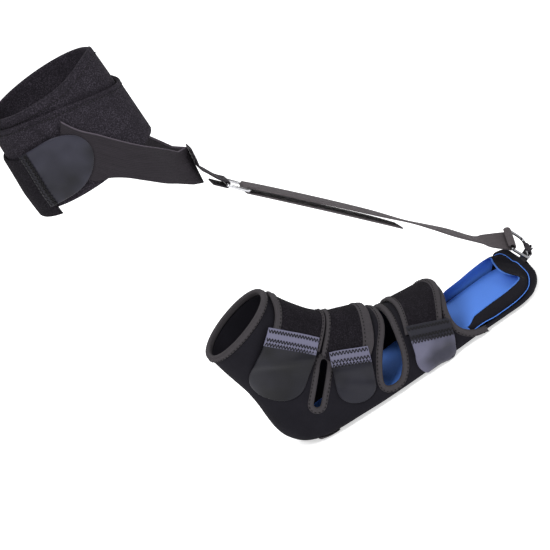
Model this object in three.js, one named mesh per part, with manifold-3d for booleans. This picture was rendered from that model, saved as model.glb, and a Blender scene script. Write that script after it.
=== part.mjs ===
// Night splint for the right foot: a padded boot, a cuff round the calf and a pull strap between.
// Millimetres. X points to the toes, Y to the inner side of the foot, Z up the leg.
// The origin is the heel's seat on the footbed, under the leg's axis.
import * as THREE from 'three';
import { mergeVertices } from 'three/addons/utils/BufferGeometryUtils.js';
import Module from 'manifold-3d';

const wasm = await Module();
wasm.setup();

// Driving sizes of the boot
const FOOT_REACH = 290;
const FOOT_WIDTH = 108;
const BOOT_HEIGHT = 154;
const SOLE_DROP = 10;
const SLEEVE_WALL = 4;
const STRAP_WALL = 3;
const TAB_WALL = 1.6;
const BINDING_WIDTH = 7;
const BINDING_STAND = 1;
const TOE_BUMPER = 16;
const RIM_DEPTH = 7.5;
const GUARD_HEIGHT = 13.2;
const GUARD_WALL = 2.5;
const CORNER_LIFT = 12;
const SLIT_LENGTH = 50;
const SLIT_WIDTH = 7;
const PATCH_LENGTH = 24;
const PATCH_WIDTH = 70;
const PATCH_WALL = 2;

// Driving sizes of the calf cuff
const CUFF_DEPTH = 118;
const CUFF_WIDTH = 116;
const CUFF_SET_BACK = 18.5;
const CUFF_FOOT = 356;
const CUFF_HEIGHT = 97;
const CUFF_WALL = 5;
const WRAP_WALL = 3.5;
const CLOSURE_WIDTH = 66;
const CLOSURE_WALL = 3;
const CALF_TAB_WIDTH = 58;

// Driving sizes of the webbing, the rings and the straps
const YOKE_WIDTH = 45;
const YOKE_WALL = 2;
const YOKE_DROP = 40.4;
const STRAP_WIDTH = 28;
const WEBBING_WALL = 2;
const LEAD_WIDTH = 25;
const LOOP_WIDTH = 20;
const YOKE_RING_WIDTH = 34;
const YOKE_RING_LENGTH = 26;
const TOE_RING_WIDTH = 37;
const TOE_RING_LENGTH = 26;
const WIRE = 3.2;
const RING_CORNER = 2.4;

// Clearance between neighbouring pieces, and the fineness of the faceted walls
const GAP = 0.3;
const PAST_COLLAR = 20;
const AROUND = 28;
const CALF_FACETS = 32;

// Materials
const finish = (color, roughness, metalness = 0) => (
  { color, roughness, metalness });
const NEOPRENE = finish(0x1e1c21, 0.95);
const BINDING = finish(0x38343a, 0.85);
const HOOK = finish(0x45474d, 0.5);
const WEBBING = finish(0x2e2a2f, 0.8);
const STRAP = finish(0x5a5558, 0.7);
const LINING = finish(0x4b82dc, 0.85);
const CHROME = finish(0xd8d8dc, 0.15, 1);

const part = new THREE.Group();

function add(name, geometry, look) {
  const mesh = new THREE.Mesh(geometry, new THREE.MeshStandardMaterial(look));
  mesh.name = name;
  part.add(mesh);
}

// Closed meshes from grids of points

function meshOf(points, faces) {
  const geometry = new THREE.BufferGeometry();
  geometry.setAttribute('position', new THREE.Float32BufferAttribute(
    points.flatMap((p) => [p.x, p.y, p.z]), 3));
  let volume = 0;
  for (const [a, b, c] of faces) {
    volume += points[a].dot(new THREE.Vector3().crossVectors(points[b], points[c]));
  }
  geometry.setIndex(faces.flatMap(([a, b, c]) => (volume < 0 ? [a, c, b] : [a, b, c])));
  geometry.computeVertexNormals();
  return geometry;
}

function band(faces, first, second) {
  // a strip of quads between two runs of vertex numbers
  for (let i = 0; i + 1 < first.length; i += 1) {
    faces.push([first[i], second[i], second[i + 1]], [first[i], second[i + 1], first[i + 1]]);
  }
}

function numberGrid(points, grid) {
  return grid.map((row) => row.map((p) => points.push(p) - 1));
}

// Rings of points skinned into a closed body, capped at the ends or looped on itself
function skin(rings, looped = false) {
  const points = [];
  const faces = [];
  const rows = numberGrid(points, rings).map((row) => [...row, row[0]]);
  for (let i = 0; i + 1 < rows.length; i += 1) band(faces, rows[i], rows[i + 1]);
  if (looped) {
    band(faces, rows[rows.length - 1], rows[0]);
    return meshOf(points, faces);
  }
  for (const [row, ring, turned] of [[rows[0], rings[0], false],
    [rows[rows.length - 1], rings[rings.length - 1], true]]) {
    const middle = ring.reduce((sum, p) => sum.add(p), new THREE.Vector3())
      .divideScalar(ring.length);
    const centre = points.push(middle) - 1;
    for (let j = 0; j + 1 < row.length; j += 1) {
      faces.push(turned ? [row[j], centre, row[j + 1]] : [row[j], row[j + 1], centre]);
    }
  }
  return meshOf(points, faces);
}

// A wall between two grids of the same size; its sides are closed, or it runs right round
function wall(outer, inner, around = false) {
  const points = [];
  const faces = [];
  const close = (rows) => (around ? rows.map((row) => [...row, row[0]]) : rows);
  const skinOut = close(numberGrid(points, outer));
  const skinIn = close(numberGrid(points, inner));
  const last = skinOut.length - 1;
  for (let i = 0; i < last; i += 1) {
    band(faces, skinOut[i], skinOut[i + 1]);
    band(faces, skinIn[i + 1], skinIn[i]);
  }
  band(faces, skinIn[0], skinOut[0]);
  band(faces, skinOut[last], skinIn[last]);
  if (!around) {
    const end = skinOut[0].length - 1;
    band(faces, skinOut.map((row) => row[0]), skinIn.map((row) => row[0]));
    band(faces, skinIn.map((row) => row[end]), skinOut.map((row) => row[end]));
  }
  return meshOf(points, faces);
}

// Joining and cutting

function solid(geometry) {
  const bare = geometry.clone();
  bare.deleteAttribute('normal');
  bare.deleteAttribute('uv');
  const merged = mergeVertices(bare, 1e-4);
  return new wasm.Manifold(new wasm.Mesh({
    numProp: 3,
    vertProperties: new Float32Array(merged.attributes.position.array),
    triVerts: new Uint32Array(merged.index.array),
  }));
}

function surface(body) {
  const mesh = body.getMesh();
  const geometry = new THREE.BufferGeometry();
  geometry.setAttribute('position', new THREE.Float32BufferAttribute(mesh.vertProperties, 3));
  geometry.setIndex([...mesh.triVerts]);
  geometry.computeVertexNormals();
  return geometry;
}

// A prism across the foot, its outline drawn from the side as points of x and z
function sidePrism(outline, yFrom, yTo) {
  const shape = new THREE.Shape(outline.map(([x, z]) => new THREE.Vector2(x, z)));
  const geometry = new THREE.ExtrudeGeometry(shape, {
    depth: yTo - yFrom, bevelEnabled: false, steps: 1 });
  geometry.rotateX(Math.PI / 2);
  geometry.translate(0, yTo, 0);
  return solid(geometry);
}

// A prism up the leg, its outline drawn from above as points of x and y
function planPrism(outline, zFrom, zTo) {
  const shape = new THREE.Shape(outline.map(([x, y]) => new THREE.Vector2(x, y)));
  const geometry = new THREE.ExtrudeGeometry(shape, {
    depth: zTo - zFrom, bevelEnabled: false, steps: 1 });
  geometry.translate(0, 0, zFrom);
  return solid(geometry);
}

function roundedOutline(points, count) {
  const curve = new THREE.CatmullRomCurve3(
    points.map(([x, z]) => new THREE.Vector3(x, z, 0)), true, 'centripetal');
  return curve.getPoints(count).slice(0, count).map((p) => [p.x, p.y]);
}

// The boot's outer form: sections that fan from the leg round the instep to the toes.
// Columns: dorsum x and z, underside x and z, half width, dorsum and underside squareness,
// height of the widest place, skew of the section. x is a share of FOOT_REACH, z a share of
// BOOT_HEIGHT above the underside, and the width a share of half of FOOT_WIDTH.
const SECTIONS = [
  [0.143, 1.000, -0.140, 0.855, 0.704, 2.1, 2.1, 0.50, 0],
  [0.159, 0.928, -0.134, 0.783, 0.694, 2.1, 2.1, 0.50, 0],
  [0.178, 0.859, -0.126, 0.704, 0.676, 2.1, 2.1, 0.50, 0],
  [0.203, 0.783, -0.116, 0.618, 0.656, 2.1, 2.1, 0.48, 0],
  [0.225, 0.724, -0.106, 0.526, 0.648, 2.1, 2.2, 0.46, 0],
  [0.246, 0.682, -0.101, 0.414, 0.652, 2.1, 2.3, 0.44, 0],
  [0.262, 0.655, -0.101, 0.303, 0.667, 2.1, 2.5, 0.42, 0],
  [0.277, 0.635, -0.098, 0.205, 0.693, 2.1, 2.8, 0.40, 0],
  [0.291, 0.618, -0.083, 0.120, 0.726, 2.1, 2.7, 0.38, 0],
  [0.305, 0.605, -0.046, 0.046, 0.774, 2.1, 3, 0.36, 0],
  [0.319, 0.592, 0.015, 0.006, 0.824, 2.1, 3.4, 0.34, 0],
  [0.336, 0.575, 0.086, 0.000, 0.870, 2.1, 3.9, 0.33, 0],
  [0.360, 0.552, 0.166, 0.000, 0.907, 2.1, 4.4, 0.32, 0],
  [0.391, 0.516, 0.259, 0.000, 0.944, 2.15, 5.2, 0.31, 0],
  [0.429, 0.462, 0.352, 0.000, 0.972, 2.2, 5.4, 0.31, 0],
  [0.474, 0.413, 0.434, 0.000, 0.991, 2.25, 5.4, 0.32, 0],
  [0.532, 0.383, 0.510, 0.000, 1.000, 2.3, 5.4, 0.33, 0.01],
  [0.598, 0.360, 0.593, 0.000, 1.004, 2.3, 5.4, 0.34, 0.03],
  [0.664, 0.337, 0.666, 0.002, 1.012, 2.3, 5.4, 0.35, 0.05],
  [0.729, 0.313, 0.731, -0.002, 1.018, 2.3, 5.4, 0.36, 0.07],
  [0.803, 0.299, 0.804, -0.004, 1.035, 2.4, 5.4, 0.38, 0.09],
  [0.866, 0.289, 0.866, -0.004, 1.050, 2.5, 5.4, 0.40, 0.1],
  [0.914, 0.283, 0.914, -0.004, 0.960, 2.6, 5.4, 0.42, 0.11],
  [0.938, 0.276, 0.938, -0.001, 0.820, 2.6, 5.4, 0.43, 0.11],
  [0.956, 0.270, 0.956, 0.000, 0.640, 2.6, 5.4, 0.44, 0.11],
  [0.968, 0.263, 0.968, 0.008, 0.450, 2.6, 5.4, 0.45, 0.11],
  [0.974, 0.260, 0.974, 0.018, 0.290, 2.6, 5.4, 0.45, 0.11],
];
const TOE_ROWS = 5;

const side = (x, z) => [x * FOOT_REACH, z * BOOT_HEIGHT - SOLE_DROP];

function sectionPoint([dx, dz, ux, uz, width, top, under, widest, skew], turn) {
  const c = Math.cos(turn);
  const s = Math.sin(turn);
  const power = 2 / (c >= 0 ? top : under);
  const along = Math.sign(c) * Math.abs(c) ** power * (c >= 0 ? 1 - widest : widest);
  const across = -Math.sign(s) * Math.abs(s) ** power * width * FOOT_WIDTH / 2;
  const [x1, z1] = side(dx, dz);
  const [x0, z0] = side(ux, uz);
  const share = widest + along;
  return new THREE.Vector3(
    x0 + (x1 - x0) * share + skew * across, across, z0 + (z1 - z0) * share);
}

const BOOT = SECTIONS.map((row) => Array.from(
  { length: AROUND }, (_, j) => sectionPoint(row, 2 * Math.PI * j / AROUND)));

const BOOT_NORMALS = BOOT.map((ring, i) => ring.map((p, j) => {
  const before = BOOT[Math.max(i - 1, 0)][j];
  const after = BOOT[Math.min(i + 1, BOOT.length - 1)][j];
  const left = ring[(j + AROUND - 1) % AROUND];
  const right = ring[(j + 1) % AROUND];
  return new THREE.Vector3().crossVectors(
    after.clone().sub(before), right.clone().sub(left)).normalize();
}));
const facesOut = BOOT_NORMALS[12][0].z > 0 ? 1 : -1;

const bootPoint = (i, j, stand) => BOOT[i][j % AROUND].clone()
  .addScaledVector(BOOT_NORMALS[i][j % AROUND], stand * facesOut);

const bootGrid = (stand) => BOOT.map((ring, i) => ring.map((p, j) => bootPoint(i, j, stand)));

// The boot as a full body, grown or shrunk by a distance, its collar drawn on up the leg
function bootSolid(stand, collarRise, toeSetBack) {
  const rings = bootGrid(stand);
  const lift = new THREE.Vector3(-0.25, 0, 1).multiplyScalar(collarRise);
  if (collarRise > 0) rings.unshift(rings[0].map((p) => p.clone().add(lift)));
  const start = rings.length - 1 - TOE_ROWS;
  rings.forEach((ring, i) => {
    const share = Math.max(0, i - start) / TOE_ROWS;
    ring.forEach((p) => { p.x -= toeSetBack * share; });
  });
  return solid(skin(rings));
}

// A layer over some sections and some of the turn, in columns from the dorsum outwards
function bootLayer(rows, columns, from, to) {
  const grid = (stand) => rows.map((i) => columns.map((j) => bootPoint(i, j + AROUND, stand)));
  return solid(wall(grid(to), grid(from)));
}

const span = (first, last) => Array.from({ length: last - first + 1 }, (_, k) => first + k);

// Outlines seen from the side, as shares of FOOT_REACH and BOOT_HEIGHT
const shares = (rows) => rows.map(([x, z]) => side(x, z));

const GAP_OUTLINE = shares([
  [0.445, 0.52], [0.428, 0.44], [0.362, 0.335], [0.314, 0.22], [0.293, 0.13], [0.303, 0.10],
  [0.342, 0.095], [0.376, 0.155], [0.403, 0.25], [0.424, 0.355], [0.446, 0.435], [0.478, 0.54],
]);
const SLIT_TOP = side(0.168, 0.467);
const SLIT_AIM = 225 * Math.PI / 180;
const TOE_LINE = shares([
  [0.690, 0.46], [0.686, 0.37], [0.655, 0.335], [0.624, 0.28], [0.614, 0.20], [0.628, 0.125],
  [0.658, 0.075], [0.700, 0.045],
]);
const rimTop = RIM_DEPTH - SOLE_DROP;

// Outline of a slot with round ends, from one end along an aim
function slotOutline([x, z], aim, length, halfWidth) {
  const points = [];
  const steps = 6;
  for (const [end, start] of [[0, aim + Math.PI / 2], [length, aim - Math.PI / 2]]) {
    const cx = x + Math.cos(aim) * end;
    const cz = z + Math.sin(aim) * end;
    for (let k = 0; k <= steps; k += 1) {
      const turn = start + Math.PI * k / steps;
      points.push([cx + Math.cos(turn) * halfWidth, cz + Math.sin(turn) * halfWidth]);
    }
  }
  return points;
}

// An outline moved outwards all round by a distance
function grown(outline, distance) {
  const area = outline.reduce((sum, [x, z], i) => {
    const [nx, nz] = outline[(i + 1) % outline.length];
    return sum + x * nz - nx * z;
  }, 0);
  const sign = area > 0 ? 1 : -1;
  return outline.map(([x, z], i) => {
    const [ax, az] = outline[(i + outline.length - 1) % outline.length];
    const [bx, bz] = outline[(i + 1) % outline.length];
    const length = Math.hypot(bx - ax, bz - az);
    return [x + sign * (bz - az) / length * distance, z - sign * (bx - ax) / length * distance];
  });
}

const FAR = FOOT_WIDTH;
const gapHole = roundedOutline(GAP_OUTLINE, 30);
const slitHole = slotOutline(SLIT_TOP, SLIT_AIM, SLIT_LENGTH - SLIT_WIDTH, SLIT_WIDTH / 2);

// The open toe, from the side: all that lies above the line, and ahead of it
function toeOutline(setBack) {
  const line = grown([...TOE_LINE, [FOOT_REACH * 1.1, rimTop], [FOOT_REACH * 1.1, BOOT_HEIGHT],
    [TOE_LINE[0][0], BOOT_HEIGHT]], setBack);
  const curve = new THREE.CatmullRomCurve3(
    line.slice(0, TOE_LINE.length).map(([x, z]) => new THREE.Vector3(x, z, 0)));
  const edge = curve.getPoints(16).map((p) => [p.x, Math.max(p.y, rimTop)]);
  return [...edge, [FOOT_REACH * 1.2, rimTop], [FOOT_REACH * 1.2, BOOT_HEIGHT],
    [edge[0][0], BOOT_HEIGHT]];
}

// What the toe's opening, the gap and the slit take from a layer, their bindings with them
const room = BINDING_WIDTH + GAP;
const OPENINGS = sidePrism(toeOutline(room), -FAR, FAR)
  .add(sidePrism(grown(gapHole, room), -FAR, FAR))
  .add(sidePrism(grown(slitHole, room), -FAR, 0));

const ramp = (value) => {
  const t = Math.min(1, Math.max(0, value));
  return t * t * (3 - 2 * t);
};

// How far the strap draws the rim up at the toe's inner corner
function cornerLift(x, y) {
  return CORNER_LIFT * ramp((x / FOOT_REACH - 0.875) / 0.045)
    * ramp((y / (FOOT_WIDTH / 2) - 0.52) / 0.3);
}

// Foot sleeve: the boot's wall, open at the collar and the toes, with its slit and gap
function makeSleeve() {
  const body = bootSolid(0, 0, 0)
    .subtract(bootSolid(-SLEEVE_WALL, PAST_COLLAR, TOE_BUMPER - SLEEVE_WALL))
    .subtract(OPENINGS);
  const geometry = surface(body);
  const place = geometry.attributes.position;
  const floor = SLEEVE_WALL - SOLE_DROP + GAP;
  for (let k = 0; k < place.count; k += 1) {
    const share = Math.min(1, Math.max(0, (place.getZ(k) - floor) / (rimTop - floor)));
    place.setZ(k, place.getZ(k) + share * cornerLift(place.getX(k), place.getY(k)));
  }
  geometry.computeVertexNormals();
  add('foot_sleeve', geometry, NEOPRENE);
}

// Bindings: bound edges, a little thicker than the wall that they close
function makeBindings() {
  const skinOut = bootSolid(BINDING_STAND, 0, 0);
  const skinIn = bootSolid(-SLEEVE_WALL - BINDING_STAND / 2, PAST_COLLAR, TOE_BUMPER);
  const shell = skinOut.subtract(skinIn);
  const edge = (outline, from, to) => shell
    .intersect(sidePrism(grown(outline, BINDING_WIDTH), from, to))
    .subtract(sidePrism(outline, from * 2, to * 2 + 1));
  add('gap_binding', surface(edge(gapHole, -FAR, FAR)), BINDING);
  add('slit_binding', surface(edge(slitHole, -FAR, -1)), BINDING);
  const outer = toeOutline(BINDING_WIDTH);
  const toe = shell.intersect(sidePrism(outer, -FAR, FAR))
    .subtract(sidePrism(toeOutline(0), -FAR * 2, FAR * 2))
    .subtract(sidePrism([[FOOT_REACH * 0.69, -BOOT_HEIGHT], [FOOT_REACH * 2, -BOOT_HEIGHT],
      [FOOT_REACH * 2, BOOT_HEIGHT * 0.1], [FOOT_REACH * 0.69, BOOT_HEIGHT * 0.1]], -FAR, FAR))
    .subtract(sidePrism([[0, -BOOT_HEIGHT], [FOOT_REACH, -BOOT_HEIGHT],
      [FOOT_REACH, rimTop + GAP], [0, rimTop + GAP]], -FAR, FAR));
  add('toe_binding', surface(toe), BINDING);
}

// Collar binding: a bound rim that sits on the sleeve's top edge
function makeCollarBinding() {
  const rise = new THREE.Vector3(-0.25, 0, 1).normalize();
  const ring = (stand, lift) => bootGrid(stand)[0].map(
    (p) => p.clone().addScaledVector(rise, lift));
  const outer = BINDING_STAND / 2;
  const inner = -SLEEVE_WALL - BINDING_STAND / 2;
  add('collar_binding', wall(
    [ring(outer, 3 * GAP), ring(outer, BINDING_WIDTH)],
    [ring(inner, 3 * GAP), ring(inner, BINDING_WIDTH)], true), BINDING);
}

// Toe guard's foot and free edge seen from above, on the rim and above it.
// Columns: foot x and y, free edge x and y, rises of the foot and of the edge; x a share of
// FOOT_REACH, y a share of half of FOOT_WIDTH and the rises shares of GUARD_HEIGHT.
const GUARD = [
  [0.650, -0.905, 0.640, -0.860, 0.35, 0],
  [0.700, -0.905, 0.690, -0.850, 0.35, 0],
  [0.752, -0.935, 0.750, -0.850, 0, 0],
  [0.835, -0.935, 0.825, -0.850, 0, 0],
  [0.885, -0.830, 0.880, -0.785, 0, 0],
  [0.913, -0.640, 0.902, -0.640, 0, 0],
  [0.937, -0.280, 0.890, -0.330, 0, 0],
  [0.943, 0.120, 0.880, 0.080, 0, 0.05],
  [0.943, 0.450, 0.884, 0.420, 0, 0.2],
  [0.928, 0.700, 0.890, 0.660, 0, 0.4],
  [0.886, 0.860, 0.868, 0.820, 0, 0.25],
  [0.820, 0.930, 0.810, 0.890, 0, 0.1],
  [0.752, 0.935, 0.750, 0.890, 0, 0],
  [0.700, 0.905, 0.690, 0.870, 0.35, 0],
  [0.650, 0.905, 0.640, 0.870, 0.35, 0],
];

function guardLine(column, height) {
  const half = FOOT_WIDTH / 2;
  const points = GUARD.map((row) => new THREE.Vector3(row[column] * FOOT_REACH,
    row[column + 1] * half, height + row[4 + column / 2] * GUARD_HEIGHT));
  const line = new THREE.CatmullRomCurve3(points, false, 'centripetal').getPoints(34);
  line.forEach((p) => {
    p.z = Math.max(p.z, height)
      + (column === 0 ? cornerLift(p.x + 2 * GUARD_WALL, p.y + 2 * GUARD_WALL) : 0);
  });
  return line;
}

// Toe guard: the strip that stands on the toe's rim and leans in over the footbed
function makeToeGuard() {
  const foot = guardLine(0, rimTop + GAP);
  const edge = guardLine(2, rimTop + GUARD_HEIGHT);
  const centre = new THREE.Vector3(FOOT_REACH * 0.8, 0, 0);
  const outer = foot.map((p, i) => [p, p.clone().lerp(edge[i], 0.5), edge[i]]);
  const inner = outer.map((row, i) => {
    const before = foot[Math.max(i - 1, 0)];
    const after = foot[Math.min(i + 1, foot.length - 1)];
    const inward = new THREE.Vector3(before.y - after.y, after.x - before.x, 0).normalize();
    if (inward.dot(centre.clone().sub(foot[i])) < 0) inward.negate();
    return row.map((p) => p.clone().addScaledVector(inward, GUARD_WALL));
  });
  add('toe_guard', wall(outer, inner), NEOPRENE);
}

// Footbed: flat on top at the origin's height, its underside on the sleeve's floor
function makeFootbed() {
  const clear = GUARD_WALL + 3 * GAP;
  const edge = (rows, hand) => rows.map(([x, half]) => [
    x * FOOT_REACH, hand * (half * FOOT_WIDTH - clear) / 2]);
  const outer = [[-0.12, 0.6], [0.30, 0.8], [0.60, 0.86], [0.76, 0.86], [0.845, 0.84],
    [0.890, 0.74], [0.918, 0.50]];
  const inner = [[-0.12, 0.6], [0.30, 0.8], [0.60, 0.86], [0.76, 0.86], [0.82, 0.80],
    [0.87, 0.60], [0.918, 0.40]];
  const outline = [...edge(outer, -1), ...edge(inner, 1).reverse()];
  const body = bootSolid(-SLEEVE_WALL - BINDING_STAND / 2 - GAP, 0, TOE_BUMPER)
    .intersect(planPrism(outline, -SOLE_DROP, 0));
  add('footbed', surface(body), LINING);
}

// Heel patch: a doubled piece across the underside of the heel
function makeHeelPatch() {
  const half = PATCH_WIDTH / 2;
  const from = 0;
  const shell = bootSolid(GAP + PATCH_WALL, 0, 0).subtract(bootSolid(GAP, PAST_COLLAR, -GAP));
  const body = shell.intersect(planPrism([[from, -half], [from + PATCH_LENGTH, -half],
    [from + PATCH_LENGTH, half], [from, half]], -SOLE_DROP * 2, -SOLE_DROP / 2));
  add('heel_patch', surface(body), BINDING);
}

// Straps over the instep, drawn from the side: the outer side's outline and the inner side's
const STRAPS = [
  {
    name: 'ankle_strap', rows: span(0, 13),
    outer: shares([[0.11, 1.06], [0.143, 0.985], [0.045, 0.79], [0.132, 0.505], [0.262, 0.684],
      [0.306, 0.79]]),
    inner: shares([[0.11, 1.06], [0.143, 0.985], [0.045, 0.79], [-0.02, 0.62], [0.075, 0.38],
      [0.132, 0.505], [0.262, 0.684], [0.306, 0.79]]),
  },
  {
    name: 'instep_strap', rows: span(6, 16),
    outer: shares([[0.306, 0.80], [0.264, 0.674], [0.140, 0.493], [0.292, 0.33], [0.318, 0.335],
      [0.40, 0.53], [0.41, 0.65]]),
    inner: shares([[0.306, 0.80], [0.264, 0.674], [0.125, 0.43], [0.15, 0.26], [0.245, 0.20],
      [0.290, 0.29], [0.345, 0.38], [0.40, 0.53], [0.41, 0.65]]),
  },
  {
    name: 'forefoot_strap', rows: span(12, 20),
    outer: shares([[0.51, 0.60], [0.492, 0.43], [0.447, 0.32], [0.588, 0.265], [0.648, 0.355],
      [0.664, 0.37], [0.672, 0.60]]),
    inner: shares([[0.51, 0.60], [0.492, 0.43], [0.447, 0.32], [0.44, 0.17], [0.58, 0.15],
      [0.605, 0.275], [0.648, 0.355], [0.664, 0.37], [0.672, 0.60]]),
  },
];

const strapColumns = span(-Math.round(AROUND * 0.36), Math.round(AROUND * 0.36));

function strapSolid({ rows, outer, inner }, from, to, margin) {
  return bootLayer(rows, strapColumns, from, to)
    .intersect(sidePrism(grown(outer, margin), -FAR, 0)
      .add(sidePrism(grown(inner, margin), -GAP, FAR)));
}

const strapIn = 2 * GAP;
const strapOut = strapIn + STRAP_WALL;

function makeStraps() {
  for (const strap of STRAPS) {
    add(strap.name, surface(strapSolid(strap, strapIn, strapOut, 0).subtract(OPENINGS)),
      NEOPRENE);
  }
}

// Hook tabs on the outer side: root on the strap's end, round tip on the sleeve.
// The root's middle is a share of FOOT_REACH and BOOT_HEIGHT; the aim is an angle from X to Z.
const TABS = [
  { name: 'ankle_tab', strap: 0, root: side(0.136, 0.756), aim: 218, width: 58, length: 71,
    tip: 27 },
  { name: 'instep_tab', strap: 1, root: side(0.260, 0.445), aim: 246, width: 39, length: 53,
    tip: 18 },
  { name: 'forefoot_tab', strap: 2, root: side(0.534, 0.285), aim: 250, width: 43, length: 50,
    tip: 20 },
];

// Height field of the boot's outer side: its place and outward direction above a point of x, z
const outerFaces = [];
for (let i = 0; i + 1 < BOOT.length; i += 1) {
  for (let j = 0; j < AROUND / 2; j += 1) {
    const corner = [[i, j], [i + 1, j], [i + 1, j + 1], [i, j + 1]].map(([r, c]) => ({
      p: BOOT[r][c % AROUND], n: BOOT_NORMALS[r][c % AROUND] }));
    outerFaces.push([corner[0], corner[1], corner[2]], [corner[0], corner[2], corner[3]]);
  }
}

function outerSide(x, z) {
  let best = null;
  for (const [a, b, c] of outerFaces) {
    const area = (b.p.x - a.p.x) * (c.p.z - a.p.z) - (c.p.x - a.p.x) * (b.p.z - a.p.z);
    if (Math.abs(area) < 1e-6) continue;
    const u = ((x - a.p.x) * (c.p.z - a.p.z) - (c.p.x - a.p.x) * (z - a.p.z)) / area;
    const v = ((b.p.x - a.p.x) * (z - a.p.z) - (x - a.p.x) * (b.p.z - a.p.z)) / area;
    if (u < -1e-3 || v < -1e-3 || u + v > 1.001) continue;
    const y = a.p.y + u * (b.p.y - a.p.y) + v * (c.p.y - a.p.y);
    if (best === null || y < best.point.y) {
      const out = a.n.clone().multiplyScalar(1 - u - v)
        .addScaledVector(b.n, u).addScaledVector(c.n, v).multiplyScalar(facesOut).normalize();
      best = { point: new THREE.Vector3(x, y, z), out };
    }
  }
  return best;
}

function tabGrid({ root, aim, width, length, tip }, stand) {
  const turn = aim * Math.PI / 180;
  const steps = 9;
  return span(0, steps).map((k) => {
    const along = k < 4 ? (length - tip) * k / 4
      : length - tip + tip * Math.sin(Math.PI / 2 * (k - 4) / (steps - 4.2));
    const round = Math.max(0, along - (length - tip)) / tip;
    const half = width / 2 * Math.sqrt(Math.max(0.02, 1 - round ** 2.3));
    return span(-4, 4).map((m) => {
      const across = half * m / 4;
      const x = root[0] + Math.cos(turn) * along - Math.sin(turn) * across;
      const z = root[1] + Math.sin(turn) * along + Math.cos(turn) * across;
      const at = outerSide(x, Math.max(z, -SOLE_DROP * 0.6));
      return at.point.addScaledVector(at.out, stand(along));
    });
  });
}

function makeTabs() {
  const under = bootSolid(GAP, 0, 0);
  for (const tab of TABS) {
    const over = strapOut + GAP;
    const lap = tab.length * 0.28;
    const ease = (along) => over * THREE.MathUtils.smoothstep(lap * 2.1 - along, 0, lap);
    const body = solid(wall(tabGrid(tab, (along) => ease(along) + TAB_WALL + GAP),
      tabGrid(tab, (along) => ease(along) - 2 * GAP)))
      .subtract(under)
      .subtract(strapSolid(STRAPS[tab.strap], -GAP, strapOut + GAP, GAP))
      .subtract(OPENINGS);
    add(tab.name, surface(body), HOOK);
  }
}

// The calf cuff: near-elliptical levels up the leg.
// Columns: level over CUFF_FOOT as a share of CUFF_HEIGHT, front and back as shares of half
// of CUFF_DEPTH from the cuff's middle, half width as a share of half of CUFF_WIDTH.
const CALF = [
  [-0.90, 0.960, 0.95, 0.86],
  [-0.48, 0.975, 1.04, 0.93],
  [-0.06, 0.992, 1.11, 0.975],
  [0.20, 1.000, 1.11, 1.0],
  [0.45, 1.008, 1.07, 1.008],
  [0.71, 1.017, 1.042, 1.008],
  [0.97, 1.017, 0.99, 1.0],
  [1.28, 1.017, 0.92, 0.99],
];

function calfAt(height) {
  const level = (height - CUFF_FOOT) / CUFF_HEIGHT;
  let k = CALF.findIndex((row, i) => i > 0 && level <= row[0]);
  if (k < 0) k = CALF.length - 1;
  const [low, high] = [CALF[k - 1], CALF[k]];
  const t = (level - low[0]) / (high[0] - low[0]);
  const mix = (column) => low[column] + t * (high[column] - low[column]);
  const front = mix(1) * CUFF_DEPTH / 2;
  const back = mix(2) * CUFF_DEPTH / 2;
  return { middle: (front - back) / 2 - CUFF_SET_BACK, deep: (front + back) / 2,
    wide: mix(3) * CUFF_WIDTH / 2 };
}

// A point on the calf's outside; the turn is in degrees from the front to the outer side.
// Past the leaving turn towards the front, a band runs on straight to the middle.
function calfPoint(turn, height, stand, leaving = 0) {
  const { middle, deep, wide } = calfAt(height);
  const angle = turn * Math.PI / 180;
  const past = Math.max(0, leaving - Math.abs(turn)) * Math.PI / 180;
  const reach = 1 / Math.cos(past);
  return new THREE.Vector3(middle + (deep + stand) * reach * Math.cos(angle),
    -(wide + stand) * reach * Math.sin(angle), height);
}

const RING_TURNS = Array.from({ length: CALF_FACETS }, (_, k) => 360 * k / CALF_FACETS);
const cosine = (turn) => Math.cos(turn * Math.PI / 180);

// A closed ring round the calf between two edges, each a height for a turn
function calfRing(bottom, top, from, to) {
  const levels = [0, 0.35, 0.7, 1];
  const grid = (stand) => levels.map((share) => RING_TURNS.map((turn) => {
    const low = bottom(turn);
    return calfPoint(turn, low + share * (top(turn) - low), stand);
  }));
  return wall(grid(to), grid(from), true);
}

const cuffTop = CUFF_FOOT + CUFF_HEIGHT;
const wrapTop = (turn) => cuffTop - CUFF_HEIGHT * (0.25 + 0.16 * cosine(turn)
  - 0.09 * (1 - cosine(turn * 2)) / 2);
const wrapIn = 2 * GAP;
const wrapOut = wrapIn + WRAP_WALL;

function makeCuff() {
  // the rim rises to a low crest at the outer front
  const crest = { turn: 32, rise: CUFF_HEIGHT * 0.05, sharpness: 1.6 };
  const rim = (turn) => {
    const slope = Math.max(0, cosine((turn - crest.turn) * crest.sharpness));
    return cuffTop + (turn < 90 ? crest.rise * slope ** 2 : 0);
  };
  add('calf_cuff', calfRing(() => CUFF_FOOT, rim, -CUFF_WALL, 0), NEOPRENE);
  add('calf_overwrap', calfRing(() => CUFF_FOOT - 3 * GAP, wrapTop, wrapIn, wrapOut), NEOPRENE);
}

// A band that lies on the calf between two turns, its half width a share at each turn
function calfBand(turns, middle, width, halfShare, from, to) {
  const grid = (stand) => turns.map((turn, k) => {
    const half = halfShare(k / (turns.length - 1)) * width / 2;
    return [-1, -0.33, 0.33, 1].map((m) => calfPoint(turn, middle(turn) + m * half, stand(turn)));
  });
  return wall(grid(to), grid(from));
}

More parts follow.
